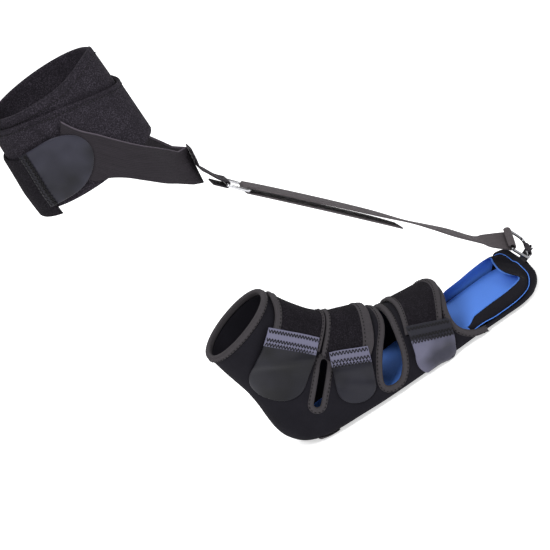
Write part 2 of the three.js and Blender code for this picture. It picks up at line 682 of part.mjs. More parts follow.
// Yoke band: webbing from under the calf tab round to a fold in front of the shin.
// Columns: turn and height of the upper edge, turn and height of the lower edge; heights
// are shares of CUFF_HEIGHT over CUFF_FOOT.
const YOKE = [
  [94, 0.742, 116, 0.350],
  [86, 0.577, 107, 0.186],
  [75, 0.423, 97, 0.052],
  [66, 0.289, 87, 0.000],
  [55, 0.134, 76, -0.103],
  [44, 0.000, 63, -0.268],
  [33, -0.108, 48, -0.443],
  [22, -0.216, 32, -0.577],
  [11, -0.340, 16, -0.711],
  [0, -0.391, 0, -0.391],
];

// The closure starts clear of the yoke's far end, and its tab is sewn to its other end
const closureFrom = 360 - YOKE[0][2] - 8;
const closureTo = 138;
const tabFrom = closureTo + 4;
const tabTo = 85;
const closureMiddle = cuffTop - 0.74 * CUFF_HEIGHT;
const closureOut = wrapOut + 2 * GAP;

function makeClosure() {
  const turns = span(0, 16).map((k) => closureFrom + (closureTo - closureFrom) * k / 16);
  add('calf_closure', calfBand(turns, () => closureMiddle, CLOSURE_WIDTH, () => 1,
    () => closureOut, () => closureOut + CLOSURE_WALL), NEOPRENE);
  const steps = 12;
  const tabTurns = span(0, steps).map((k) => tabFrom
    + (tabTo - tabFrom) * Math.sin(Math.PI / 2 * k / steps));
  const base = closureOut + CLOSURE_WALL + 2 * GAP;
  const round = (share) => Math.sqrt(Math.max(0.03,
    1 - Math.max(0, (tabFrom - tabTurns[Math.round(share * steps)]) / (tabFrom - tabTo) - 0.45)
    ** 2 / 0.3025));
  const middle = (turn) => closureMiddle
    + CALF_TAB_WIDTH * (0.13 + 0.08 * (tabFrom - turn) / (tabFrom - tabTo));
  add('calf_tab', calfBand(tabTurns, middle, CALF_TAB_WIDTH, round,
    () => base, () => base + TAB_WALL), HOOK);
}

const YOKE_LEAVING = 36;
const yokeIn = closureOut + GAP;

function yokeEdge(turn, share, stand) {
  return calfPoint(turn, CUFF_FOOT + share * CUFF_HEIGHT, stand, YOKE_LEAVING);
}

const yokeApex = (stand) => {
  const top = yokeEdge(0, YOKE[YOKE.length - 1][1], stand);
  return [top, top.clone().add(new THREE.Vector3(-0.144 * YOKE_DROP, 0, -YOKE_DROP))];
};

function makeYoke() {
  const across = [0, 0.25, 0.5, 0.75, 1];
  const grid = (stand) => {
    const half = YOKE.slice(0, -1).map(([t1, h1, t2, h2]) => {
      const run = yokeEdge(t1, h1, yokeIn).distanceTo(yokeEdge(t2, h2, yokeIn));
      const most = Math.min(1, YOKE_WIDTH / run);
      return across.map((share) => yokeEdge(
        t1 + (t2 - t1) * share * most, h1 + (h2 - h1) * share * most, stand));
    });
    const mirror = half.map((row) => row.map((p) => new THREE.Vector3(p.x, -p.y, p.z)));
    const [top, low] = yokeApex(stand);
    return [...half, across.map((share) => top.clone().lerp(low, share)), ...mirror.reverse()];
  };
  add('yoke_band', wall(grid(yokeIn + YOKE_WALL), grid(yokeIn)), WEBBING);
}

// Flat webbing through stations, each with its place, its width's direction and its width
function ribbon(stations, thickness) {
  const rings = stations.map(({ at, across, width }, k) => {
    const before = stations[Math.max(k - 1, 0)].at;
    const after = stations[Math.min(k + 1, stations.length - 1)].at;
    const along = after.clone().sub(before).normalize();
    const wide = across.clone().addScaledVector(along, -across.dot(along)).normalize();
    const thick = new THREE.Vector3().crossVectors(along, wide);
    return [[1, 1], [-1, 1], [-1, -1], [1, -1]].map(([a, b]) => at.clone()
      .addScaledVector(wide, a * width / 2).addScaledVector(thick, b * thickness / 2));
  });
  return skin(rings);
}

// Round wire bent to a closed path
function wireRing(path, radius, sides = 8) {
  const centre = path.reduce((sum, q) => sum.add(q), new THREE.Vector3())
    .divideScalar(path.length);
  const rings = path.map((p, k) => {
    const after = path[(k + 1) % path.length];
    const before = path[(k + path.length - 1) % path.length];
    const along = after.clone().sub(before).normalize();
    const out = p.clone().sub(centre);
    out.addScaledVector(along, -out.dot(along)).normalize();
    const up = new THREE.Vector3().crossVectors(along, out);
    return Array.from({ length: sides }, (_, m) => {
      const turn = 2 * Math.PI * m / sides;
      return p.clone().addScaledVector(out, Math.cos(turn) * radius)
        .addScaledVector(up, Math.sin(turn) * radius);
    });
  });
  return skin(rings, true);
}

// The rings' bars, and the line that the pull strap follows from one to the other
const Y_AXIS = new THREE.Vector3(0, 1, 0);
const YOKE_BAR = new THREE.Vector3(FOOT_REACH * 0.298, 0, CUFF_FOOT - CUFF_HEIGHT * 1.113);
const TOE_BAR = new THREE.Vector3(FOOT_REACH * 0.969, FOOT_WIDTH * 0.13, BOOT_HEIGHT * 0.193);
const pull = TOE_BAR.clone().sub(YOKE_BAR);
const pullAim = pull.clone().normalize();
const pullOut = new THREE.Vector3().crossVectors(Y_AXIS, pullAim).normalize();
if (pullOut.x < 0) pullOut.negate();
const bend = WIRE / 2 + GAP + WEBBING_WALL / 2;

const rolled = (degrees) => {
  const turn = degrees * Math.PI / 180;
  return Y_AXIS.clone().multiplyScalar(Math.cos(turn))
    .addScaledVector(pullOut, Math.sin(turn)).normalize();
};

// The wrap of webbing round a bar: places from one turn to another, in the bar's own plane
function wrap(centre, forward, outward, from, to, radius, steps = 7) {
  return Array.from({ length: steps + 1 }, (_, k) => {
    const turn = (from + (to - from) * k / steps) * Math.PI / 180;
    return centre.clone().addScaledVector(forward, Math.cos(turn) * radius)
      .addScaledVector(outward, Math.sin(turn) * radius);
  });
}

// Pull strap: it hangs back under itself from the yoke ring, and ends rolled round the toe bar.
// Columns: share of the way to the toe bar, stand over the straight line in shares of the
// bend's radius, roll in degrees.
const PULL = [
  [0.10, 0.90, 0],
  [0.30, 0.41, 0],
  [0.48, -0.21, -2],
  [0.60, -0.83, -8],
  [0.68, -1.24, -4],
  [0.78, -1.86, 2],
  [0.88, -2.55, 0],
  [0.92, -2.30, 12],
];
const RETURN = [
  [0.575, -2.90, -2],
  [0.48, -2.34, 0],
  [0.30, -1.72, 0],
  [0.10, -1.17, 0],
];
const TOE_ROLL = 25;
const HEM_FROM = -110;
const HEM_TO = 150;

function makePullStrap() {
  const run = (rows) => rows.map(([share, stand, roll]) => ({
    at: YOKE_BAR.clone().addScaledVector(pull, share).addScaledVector(pullOut, stand * bend),
    across: rolled(roll) }));
  const toeOut = new THREE.Vector3().crossVectors(rolled(TOE_ROLL), pullAim).normalize();
  if (toeOut.x < 0) toeOut.negate();
  const narrow = YOKE_RING_WIDTH - WIRE - 2 * RING_CORNER - GAP;
  const stations = [
    ...run(RETURN),
    ...wrap(YOKE_BAR, pullAim, pullOut, 270, 90, bend).map((at) => (
      { at, across: rolled(0), width: narrow })),
    ...run(PULL),
    ...wrap(TOE_BAR, pullAim, toeOut, HEM_FROM, HEM_TO, bend + GAP, 9)
      .map((at) => ({ at, across: rolled(TOE_ROLL) })),
  ];
  add('pull_strap', ribbon(stations.map((s) => ({ width: STRAP_WIDTH, ...s })), WEBBING_WALL),
    STRAP);
}

// Yoke ring: a rectangle of wire between the lead and the pull strap
const ringAim = new THREE.Vector3(0.62, 0, -0.78).normalize();
const ringOut = new THREE.Vector3(0.78, 0, 0.62).normalize();
const leadBar = YOKE_BAR.clone().addScaledVector(ringAim, WIRE - YOKE_RING_LENGTH);

function makeYokeRing() {
  const middle = YOKE_BAR.clone().add(leadBar).multiplyScalar(0.5);
  const halfLong = YOKE_BAR.distanceTo(leadBar) / 2;
  const halfWide = (YOKE_RING_WIDTH - WIRE) / 2;
  const corner = RING_CORNER;
  const path = [];
  for (const [a, b, start] of [[1, 1, 0], [-1, 1, 90], [-1, -1, 180], [1, -1, 270]]) {
    for (const step of [0, 45, 90]) {
      const turn = (start + step) * Math.PI / 180;
      path.push(middle.clone()
        .addScaledVector(ringAim, a * (halfLong - corner) + Math.cos(turn) * corner)
        .addScaledVector(Y_AXIS, b * (halfWide - corner) + Math.sin(turn) * corner));
    }
  }
  add('yoke_ring', wireRing(path, WIRE / 2), CHROME);
}

// Yoke lead: webbing sewn down the yoke's fold, then looped through the ring
function makeYokeLead() {
  const [top, low] = yokeApex(yokeIn + YOKE_WALL);
  const front = new THREE.Vector3(1, 0, 0);
  const stand = GAP + WEBBING_WALL / 2;
  const down = [0.04, 0.3, 0.58].map((share) => top.clone().lerp(low, share)
    .addScaledVector(front, stand));
  const before = leadBar.clone().addScaledVector(ringAim, -YOKE_RING_LENGTH * 0.35)
    .addScaledVector(ringOut, bend);
  const turnOff = down[2].clone().lerp(before, 0.42).addScaledVector(front, -GAP);
  const tail = leadBar.clone().addScaledVector(ringAim, -YOKE_RING_LENGTH * 0.5)
    .addScaledVector(ringOut, -bend * 1.1);
  const places = [...down, turnOff, before,
    ...wrap(leadBar, ringAim, ringOut, 90, -90, bend, 6), tail];
  add('yoke_lead', ribbon(places.map((at) => ({ at, across: Y_AXIS, width: LEAD_WIDTH })),
    WEBBING_WALL), STRAP);
}

// Toe ring: a D of wire whose straight bar is in the strap's roll
const barAim = rolled(TOE_ROLL);
const dropAim = new THREE.Vector3(0.36, 0.06, -0.93);
dropAim.addScaledVector(barAim, -dropAim.dot(barAim)).normalize();
const ringFace = new THREE.Vector3().crossVectors(dropAim, barAim).normalize();
const toeRingEnd = TOE_BAR.clone().addScaledVector(dropAim, TOE_RING_LENGTH);

function makeToeRing() {
  const half = (TOE_RING_WIDTH - WIRE) / 2;
  const corner = RING_CORNER;
  const straight = TOE_RING_LENGTH * 0.35;
  const square = (value) => Math.sign(value) * Math.abs(value) ** 0.5;
  const place = (along, down) => TOE_BAR.clone().addScaledVector(barAim, along)
    .addScaledVector(dropAim, down);
  const path = [];
  const steps = 12;
  for (let k = 0; k <= steps; k += 1) {
    const turn = Math.PI * k / steps;
    path.push(place(square(Math.cos(turn)) * half,
      straight + square(Math.sin(turn)) * (TOE_RING_LENGTH - straight)));
  }
  for (const [hand, turns] of [[-1, [180, 225, 270]], [1, [270, 315, 360]]]) {
    for (const degrees of turns) {
      const turn = degrees * Math.PI / 180;
      path.push(place(hand * (half - corner) + Math.cos(turn) * corner,
        corner + Math.sin(turn) * corner));
    }
  }
  add('toe_ring', wireRing(path, WIRE / 2), CHROME);
}

// Toe loop: webbing from the toe's bumper, round the ring's far end and up inside the ring
function makeToeLoop() {
  const seat = rimTop + GAP + WEBBING_WALL / 2;
  const end = toeRingEnd;
  const base = [[0.952, GAP], [0.965, 2 * GAP]].map(([share, rise]) => ({
    at: new THREE.Vector3(FOOT_REACH * share, end.y, seat + rise), across: Y_AXIS }));
  const round = wrap(end, dropAim, ringFace, -20, 95, bend + 2 * GAP, 6).map((at) => (
    { at, across: barAim }));
  const tail = [[0.27, 1.03], [0.46, 0.41], [0.65, 0.14]].map(([up, stand]) => ({
    at: end.clone().addScaledVector(dropAim, -up * TOE_RING_LENGTH)
      .addScaledVector(ringFace, stand * bend),
    across: barAim }));
  add('toe_loop', ribbon([...base, ...round, ...tail].map((s) => ({ ...s, width: LOOP_WIDTH })),
    WEBBING_WALL), WEBBING);
}

makeSleeve();
makeBindings();
makeCollarBinding();
makeToeGuard();
makeFootbed();
makeHeelPatch();
makeStraps();
makeTabs();
makeCuff();
makeClosure();
makeYoke();
makeYokeLead();
makeYokeRing();
makePullStrap();
makeToeRing();
makeToeLoop();

export default part;
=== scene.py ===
"""Right-hand night splint, dressed in foam fabric, edge tape, webbing and chrome."""
import math

import bmesh
import bpy
import numpy as np
from mathutils import Matrix, Vector
from mathutils.bvhtree import BVHTree


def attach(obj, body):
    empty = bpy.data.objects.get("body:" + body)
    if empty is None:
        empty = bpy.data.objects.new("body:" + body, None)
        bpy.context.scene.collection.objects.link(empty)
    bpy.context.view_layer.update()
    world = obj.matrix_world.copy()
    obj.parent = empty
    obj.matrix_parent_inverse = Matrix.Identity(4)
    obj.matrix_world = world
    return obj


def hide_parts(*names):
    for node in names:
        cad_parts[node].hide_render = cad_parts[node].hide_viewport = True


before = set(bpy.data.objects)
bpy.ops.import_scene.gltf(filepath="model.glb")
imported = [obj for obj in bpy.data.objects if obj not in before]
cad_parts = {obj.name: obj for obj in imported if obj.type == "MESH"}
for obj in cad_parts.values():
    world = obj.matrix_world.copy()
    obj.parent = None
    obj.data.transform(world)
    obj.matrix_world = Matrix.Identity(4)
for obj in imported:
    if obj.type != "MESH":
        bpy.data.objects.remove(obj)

bl_info = {
    "name": "Night splint",
    "version": (1, 0, 0),
    "blender": (4, 5, 0),
    "location": "View3D > Sidebar > Splint",
    "description": "Makes the soft pieces, seams, webbing, rings and finishes of a night splint",
    "category": "Object",
}

MM = 0.001

# Sizes in millimetres; those of the boot, the cuff, the webbing and the rings are the solids'
FOOT_REACH = 290.0
FOOT_WIDTH = 108.0
BOOT_HEIGHT = 154.0
SOLE_DROP = 10.0
RIM_TOP = -2.5
GUARD_HEIGHT = 13.2
CORNER_LIFT = 12.0
CUFF_DEPTH = 118.0
CUFF_WIDTH = 116.0
CUFF_SET_BACK = 18.5
CUFF_FOOT = 356.0
CUFF_HEIGHT = 97.0
CUFF_TOP = CUFF_FOOT + CUFF_HEIGHT
CUFF_WALL = 5.0
BOOT_WALL = 4.0
BOOT_STEPS = 6
BOOT_AROUND = 120
TAPE_LOW = -4.6
TAPE_HIGH = 1.2
STRAP_BASE = 0.6
WEBBING = 2.0
STRAP_WIDTH = 28.0
LEAD_WIDTH = 25.0
YOKE_WIDTH = 45.0
CLOSURE_WIDTH = 66.0
WIRE = 3.2
RING_CORNER = 2.4
YOKE_RING_LENGTH = 26.0
YOKE_RING_HALF = 15.4
TOE_RING_LENGTH = 26.0
TOE_RING_WIDTH = 37.0

# Boot sections from the collar to the toes: dorsum x and z, underside x and z, half width,
# dorsum and underside squareness, height of the widest place, skew
SECTIONS = [
    (0.143, 1.000, -0.140, 0.855, 0.704, 2.1, 2.1, 0.50, 0),
    (0.159, 0.928, -0.134, 0.783, 0.694, 2.1, 2.1, 0.50, 0),
    (0.178, 0.859, -0.126, 0.704, 0.676, 2.1, 2.1, 0.50, 0),
    (0.203, 0.783, -0.116, 0.618, 0.656, 2.1, 2.1, 0.48, 0),
    (0.225, 0.724, -0.106, 0.526, 0.648, 2.1, 2.2, 0.46, 0),
    (0.246, 0.682, -0.101, 0.414, 0.652, 2.1, 2.3, 0.44, 0),
    (0.262, 0.655, -0.101, 0.303, 0.667, 2.1, 2.5, 0.42, 0),
    (0.277, 0.635, -0.098, 0.205, 0.693, 2.1, 2.8, 0.40, 0),
    (0.291, 0.618, -0.083, 0.120, 0.726, 2.1, 2.7, 0.38, 0),
    (0.305, 0.605, -0.046, 0.046, 0.774, 2.1, 3, 0.36, 0),
    (0.319, 0.592, 0.015, 0.006, 0.824, 2.1, 3.4, 0.34, 0),
    (0.336, 0.575, 0.086, 0.000, 0.870, 2.1, 3.9, 0.33, 0),
    (0.360, 0.552, 0.166, 0.000, 0.907, 2.1, 4.4, 0.32, 0),
    (0.391, 0.516, 0.259, 0.000, 0.944, 2.15, 5.2, 0.31, 0),
    (0.429, 0.462, 0.352, 0.000, 0.972, 2.2, 5.4, 0.31, 0),
    (0.474, 0.413, 0.434, 0.000, 0.991, 2.25, 5.4, 0.32, 0),
    (0.532, 0.383, 0.510, 0.000, 1.000, 2.3, 5.4, 0.33, 0.01),
    (0.598, 0.360, 0.593, 0.000, 1.004, 2.3, 5.4, 0.34, 0.03),
    (0.664, 0.337, 0.666, 0.002, 1.012, 2.3, 5.4, 0.35, 0.05),
    (0.729, 0.313, 0.731, -0.002, 1.018, 2.3, 5.4, 0.36, 0.07),
    (0.803, 0.299, 0.804, -0.004, 1.035, 2.4, 5.4, 0.38, 0.09),
    (0.866, 0.289, 0.866, -0.004, 1.050, 2.5, 5.4, 0.40, 0.1),
    (0.914, 0.283, 0.914, -0.004, 0.960, 2.6, 5.4, 0.42, 0.11),
    (0.938, 0.276, 0.938, -0.001, 0.820, 2.6, 5.4, 0.43, 0.11),
    (0.956, 0.270, 0.956, 0.000, 0.640, 2.6, 5.4, 0.44, 0.11),
    (0.968, 0.263, 0.968, 0.008, 0.450, 2.6, 5.4, 0.45, 0.11),
    (0.974, 0.260, 0.974, 0.018, 0.290, 2.6, 5.4, 0.45, 0.11),
]

# Cuff levels: share of the cuff's height, then front, back and half width as shares of its own
CALF = [
    (-0.90, 0.960, 0.95, 0.86),
    (-0.48, 0.975, 1.04, 0.93),
    (-0.06, 0.992, 1.11, 0.975),
    (0.20, 1.000, 1.11, 1.0),
    (0.45, 1.008, 1.07, 1.008),
    (0.71, 1.017, 1.042, 1.008),
    (0.97, 1.017, 0.99, 1.0),
    (1.28, 1.017, 0.92, 0.99),
]

# Edges of the gap and of the toe opening seen from the side, as shares of reach and height
GAP_OUTLINE = [(0.445, 0.52), (0.428, 0.44), (0.362, 0.335), (0.314, 0.22), (0.293, 0.13),
               (0.303, 0.10), (0.342, 0.095), (0.376, 0.155), (0.403, 0.25), (0.424, 0.355),
               (0.446, 0.435), (0.478, 0.54)]
TOE_LINE = [(0.690, 0.46), (0.686, 0.37), (0.655, 0.335), (0.624, 0.28), (0.614, 0.20),
            (0.628, 0.125), (0.658, 0.075), (0.700, 0.045)]

# Straps over the instep: left and right edges as turn (degrees) and section number
STRAPS = {
    "ankle_strap": (
        [(78, 1.7), (45, 1.0), (14, 0.35), (0, 0.25), (-14, 0.35), (-45, 1.0), (-84, 2.0),
         (-112, 3.4)],
        [(57, 6.5), (36, 6.3), (12, 6.15), (0, 6.1), (-12, 6.15), (-36, 6.3), (-62, 6.6),
         (-84, 7.1)]),
    "instep_strap": (
        [(58, 7.0), (44, 6.75), (20, 6.5), (0, 6.45), (-20, 6.5), (-44, 6.8), (-66, 7.3),
         (-82, 8.2)],
        [(66, 12.25), (52, 12.75), (24, 13.02), (0, 13.12), (-24, 13.05), (-50, 12.9),
         (-70, 12.5), (-87, 12.15)]),
    "forefoot_strap": (
        [(56, 14.75), (40, 14.95), (18, 15.18), (0, 15.25), (-18, 15.18), (-40, 14.95),
         (-60, 14.8), (-84, 14.85)],
        [(60, 16.88), (42, 17.25), (20, 17.65), (0, 17.85), (-18, 17.7), (-40, 17.35),
         (-62, 17.0), (-86, 16.75)]),
}

# Hook tabs: root's middle as shares of the boot's reach and height, aim, width, length, tip,
# depth of the sewn root, height of the crease, its place along the tab and its slant
TABS = {
    "ankle_tab": (0.136, 0.756, 218, 58, 71, 27, 17.5, 1.8, 0.42, 0.35),
    "instep_tab": (0.260, 0.445, 246, 39, 53, 18, 15.5, 1.2, 0.62, -0.3),
    "forefoot_tab": (0.534, 0.285, 250, 43, 50, 20, 15.0, 2.2, 0.66, -0.45),
}

# Toe guard: x and y of its foot and of its free edge, as shares of reach and half width, then
# how far each stands above its usual height, as shares of the guard's height
GUARD = [
    (0.650, -0.905, 0.640, -0.890, 0.1, 0),
    (0.700, -0.905, 0.690, -0.870, 0.1, 0),
    (0.752, -0.935, 0.750, -0.850, 0, 0),
    (0.835, -0.935, 0.825, -0.850, 0, 0),
    (0.885, -0.830, 0.880, -0.785, 0, 0),
    (0.913, -0.640, 0.902, -0.640, 0, 0),
    (0.937, -0.280, 0.890, -0.330, 0, 0),
    (0.943, 0.120, 0.880, 0.080, 0, 0.05),
    (0.943, 0.450, 0.884, 0.420, 0, 0.2),
    (0.928, 0.700, 0.890, 0.660, 0, 0.4),
    (0.886, 0.860, 0.868, 0.820, 0, 0.25),
    (0.820, 0.930, 0.810, 0.890, 0, 0.1),
    (0.752, 0.935, 0.750, 0.890, 0, 0),
    (0.700, 0.905, 0.690, 0.870, 0.1, 0),
    (0.650, 0.905, 0.640, 0.870, 0.1, 0),
]

# Yoke from its outer end to the front: turn and cuff level of its upper and of its lower edge
YOKE = [
    (94, 0.742, 116, 0.350),
    (86, 0.577, 107, 0.186),
    (75, 0.423, 97, 0.052),
    (66, 0.289, 87, 0.000),
    (55, 0.134, 76, -0.103),
    (44, 0.000, 63, -0.268),
    (33, -0.108, 48, -0.443),
    (22, -0.216, 32, -0.577),
    (11, -0.340, 16, -0.711),
]


# Curves and grids

def between(p0, p1, p2, p3, t):
    """The smooth curve through four neighbours, at a share of the way from p1 to p2."""
    return 0.5 * (2 * p1 + (p2 - p0) * t + (2 * p0 - 5 * p1 + 4 * p2 - p3) * t ** 2
                  + (3 * p1 - p0 - 3 * p2 + p3) * t ** 3)


def curve(points, count, closed=False):
    """Points on a smooth curve through the given ones, evenly spread along it."""
    rows = np.asarray(points, float)
    n = len(rows)
    spans = n if closed else n - 1
    out = []
    for i in range(spans):
        pick = [(i - 1) % n, i, (i + 1) % n, (i + 2) % n] if closed else [
            max(i - 1, 0), i, i + 1, min(i + 2, n - 1)]
        out += [between(*rows[pick], t) for t in np.arange(16) / 16]
    out.append(rows[0] if closed else rows[-1])
    return spread(np.array(out), count, closed)


def spread(line, count, closed=False):
    """A polyline resampled to count points of even spacing."""
    at = run_lengths(line)
    want = np.linspace(0, at[-1], count + 1)[:-1] if closed else np.linspace(0, at[-1], count)
    return np.stack([np.interp(want, at, line[:, k]) for k in range(line.shape[1])], 1)


def unit(vectors):
    """Vectors brought to a length of 1."""
    return vectors / np.maximum(np.linalg.norm(vectors, axis=-1, keepdims=True), 1e-9)


def everywhere(direction, like):
    """One direction for every point of a line or a grid."""
    return np.broadcast_to(np.array(direction, float), like.shape)


def oval(wide, tall, count):
    """A closed oval profile."""
    return [(wide * math.cos(a), tall * math.sin(a))
            for a in np.linspace(0, 2 * math.pi, count + 1)[:-1]]


def run_lengths(line):
    """How far along a line each of its points lies."""
    return np.concatenate([[0], np.cumsum(np.linalg.norm(np.diff(line, axis=0), axis=1))])


def tangents(line, closed=False):
    """The direction of a line at each of its points."""
    if closed:
        return unit(np.roll(line, -1, 0) - np.roll(line, 1, 0))
    return unit(np.gradient(line, axis=0))


def grid_normals(grid, ring=False):
    """Outward directions of a grid of points; the columns may close on themselves."""
    down = np.gradient(grid, axis=0)
    over = (np.roll(grid, -1, 1) - np.roll(grid, 1, 1)) if ring else np.gradient(grid, axis=1)
    return unit(np.cross(down, over))


def edged(length, step, edge):
    """Shares from 0 to 1 with a few close to each end, so that an edge can be rounded."""
    near = [0.0, 0.1 * edge, 0.35 * edge, edge]
    middle = max(2, int(round((length - 2 * edge) / step)))
    far = [length - v for v in reversed(near)]
    inner = list(np.linspace(edge, length - edge, middle + 1)[1:-1])
    return np.array(near + inner + far) / length


def grid_lengths(grid):
    """Each grid point's distance along its row and its column."""
    over = np.linalg.norm(np.diff(grid, axis=1), axis=2)
    down = np.linalg.norm(np.diff(grid, axis=0), axis=2)
    u = np.concatenate([np.zeros((grid.shape[0], 1)), np.cumsum(over, 1)], 1)
    v = np.concatenate([np.zeros((1, grid.shape[1])), np.cumsum(down, 0)], 0)
    return u, v


# Meshes

def put(name, mesh):
    """A mesh as an object at the origin."""
    piece = bpy.data.objects.new(name, mesh)
    bpy.context.scene.collection.objects.link(piece)
    return piece


def raw_mesh(name, points, edges=(), faces=()):
    """A mesh whose points are given in millimetres."""
    mesh = bpy.data.meshes.new(name)
    mesh.from_pydata((np.asarray(points) * MM).tolist(), edges, faces)
    return mesh


def smooth_faces(piece):
    """Shades all of a piece's faces smoothly."""
    piece.data.polygons.foreach_set("use_smooth", [True] * len(piece.data.polygons))


def new_piece(name, points, faces, material, uvs=None):
    """An object with faces, and a cloth map in metres where one is given."""
    mesh = raw_mesh(name, points, faces=faces)
    if uvs is not None:
        cloth = mesh.uv_layers.new(name="cloth")
        loops = np.zeros(len(mesh.loops), int)
        mesh.loops.foreach_get("vertex_index", loops)
        cloth.data.foreach_set("uv", (np.asarray(uvs)[loops] * MM).ravel())
    mesh.validate()
    mesh.materials.append(material)
    piece = put(name, mesh)
    smooth_faces(piece)
    return piece


def quads(rows, cols, ring=False, start=0):
    """Faces of a grid of points; the columns may close on themselves."""
    faces = []
    for i in range(rows - 1):
        for j in range(cols if ring else cols - 1):
            k = (j + 1) % cols
            faces.append((start + i * cols + j, start + i * cols + k,
                          start + (i + 1) * cols + k, start + (i + 1) * cols + j))
    return faces


def tube(rows, cols):
    """Faces of rows of points that close on themselves, capped at both ends."""
    return quads(rows, cols, True) + [tuple(range(cols)),
                                      tuple(reversed(range((rows - 1) * cols, rows * cols)))]


def outward(piece):
    """Merges doubles and turns the faces of a closed piece outwards."""
    work = bmesh.new()
    work.from_mesh(piece.data)
    bmesh.ops.remove_doubles(work, verts=work.verts, dist=1e-6)
    bmesh.ops.dissolve_degenerate(work, dist=1e-7, edges=work.edges)
    bmesh.ops.recalc_face_normals(work, faces=work.faces)
    work.to_mesh(piece.data)
    work.free()
    piece.data.set_sharp_from_angle(angle=math.radians(50))
    return piece


def layer(name, grid, wall, material, base=0.0, ring=False, soft=None, crown=0.0, *,
          normals):
    """A closed layer of cloth that stands off a grid of points by base, its border rounded over
    the soft width and its middle raised by the crown."""
    u, v = grid_lengths(grid)
    reach = [v, v[-1:] - v]
    if not ring:
        reach += [u, u[:, -1:] - u]
    edge = np.minimum.reduce(reach)
    half = wall / 2
    soft = half if soft is None else soft
    swell = np.sqrt(np.maximum(0, 1 - (1 - np.clip(edge / soft, 0, 1)) ** 2))
    middle = np.broadcast_to(np.asarray(base) + half, edge.shape)
    puff = crown * np.clip(edge / 14, 0, 1) ** 0.6
    top = grid + normals * (middle + half * swell + puff)[..., None]
    low = grid + normals * (middle - half * swell)[..., None]
    rows, cols = edge.shape
    points = np.concatenate([top.reshape(-1, 3), low.reshape(-1, 3)])
    faces = quads(rows, cols, ring)
    faces += [tuple(reversed(f)) for f in quads(rows, cols, ring, rows * cols)]
    uv = np.stack([u, v], -1).reshape(-1, 2)
    piece = new_piece(name, points, faces, material, np.concatenate([uv, uv]))
    return outward(piece)


def sweep(name, line, side, out, profile, material, closed=True):
    """A tape with the given cross section, in side and out directions, along a line."""
    n, m = len(line), len(profile)
    shape = np.asarray(profile, float)
    points = (line[:, None] + side[:, None] * shape[None, :, :1]
              + out[:, None] * shape[None, :, 1:])
    uv = np.stack(np.meshgrid(run_lengths(line), run_lengths(shape), indexing="ij"), -1)
    faces = tube(n, m)
    if closed:
        faces[-2:] = [((n - 1) * m + j, (n - 1) * m + (j + 1) % m, (j + 1) % m, j)
                      for j in range(m)]
    return outward(new_piece(name, points.reshape(-1, 3), faces, material,
                             uv.reshape(-1, 2)))


def rounded(width, low, high, radius, steps=4):
    """A rounded rectangle from 0 to width and from low to high, as a closed profile."""
    radius = min(radius, width / 2, (high - low) / 2)
    corners = [(width - radius, high - radius, 0), (radius, high - radius, 90),
               (radius, low + radius, 180), (width - radius, low + radius, 270)]
    return [(x + radius * math.cos(math.radians(a + 90 * k / steps)),
             y + radius * math.sin(math.radians(a + 90 * k / steps)))
            for x, y, a in corners for k in range(steps + 1)]


def join(name, pieces):
    """Several pieces as one mesh."""
    with bpy.context.temp_override(active_object=pieces[0], selected_editable_objects=pieces,
                                   selected_objects=pieces, object=pieces[0]):
        bpy.ops.object.join()
    pieces[0].name = name
    pieces[0].data.name = name
    return pieces[0]


def dress(piece, slot, *nodes, fill=None):
    """Puts a piece on the part's root body and hides the solids that it stands for.
    Its record slot is not used, nor how full it is where it is padded."""
    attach(piece, "root")
    if nodes:
        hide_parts(*nodes)


# The boot's form

def boot_points(rows, turns):
    """Points of the boot's sections, at turns (radians) round the boot."""
    dx, dz, ux, uz, wide, top, under, widest, skew = np.moveaxis(rows, -1, 0)
    c, s = np.cos(turns), np.sin(turns)
    power = np.where(c >= 0, 2 / top, 2 / under)
    along = np.sign(c) * np.abs(c) ** power * np.where(c >= 0, 1 - widest, widest)
    across = -np.sign(s) * np.abs(s) ** power * wide * FOOT_WIDTH / 2
    share = widest + along
    x1, z1 = dx * FOOT_REACH, dz * BOOT_HEIGHT - SOLE_DROP
    x0, z0 = ux * FOOT_REACH, uz * BOOT_HEIGHT - SOLE_DROP
    return np.stack([x0 + (x1 - x0) * share + skew * across, across,
                     z0 + (z1 - z0) * share], -1)


def section_rows(numbers):
    """Section rows at fractional section numbers."""
    rows = np.array(SECTIONS, float)
    numbers = np.clip(np.asarray(numbers, float), 0, len(rows) - 1.0001)
    i = numbers.astype(int)
    t = (numbers - i)[..., None]
    return between(rows[np.maximum(i - 1, 0)], rows[i], rows[i + 1],
                   rows[np.minimum(i + 2, len(rows) - 1)], t)


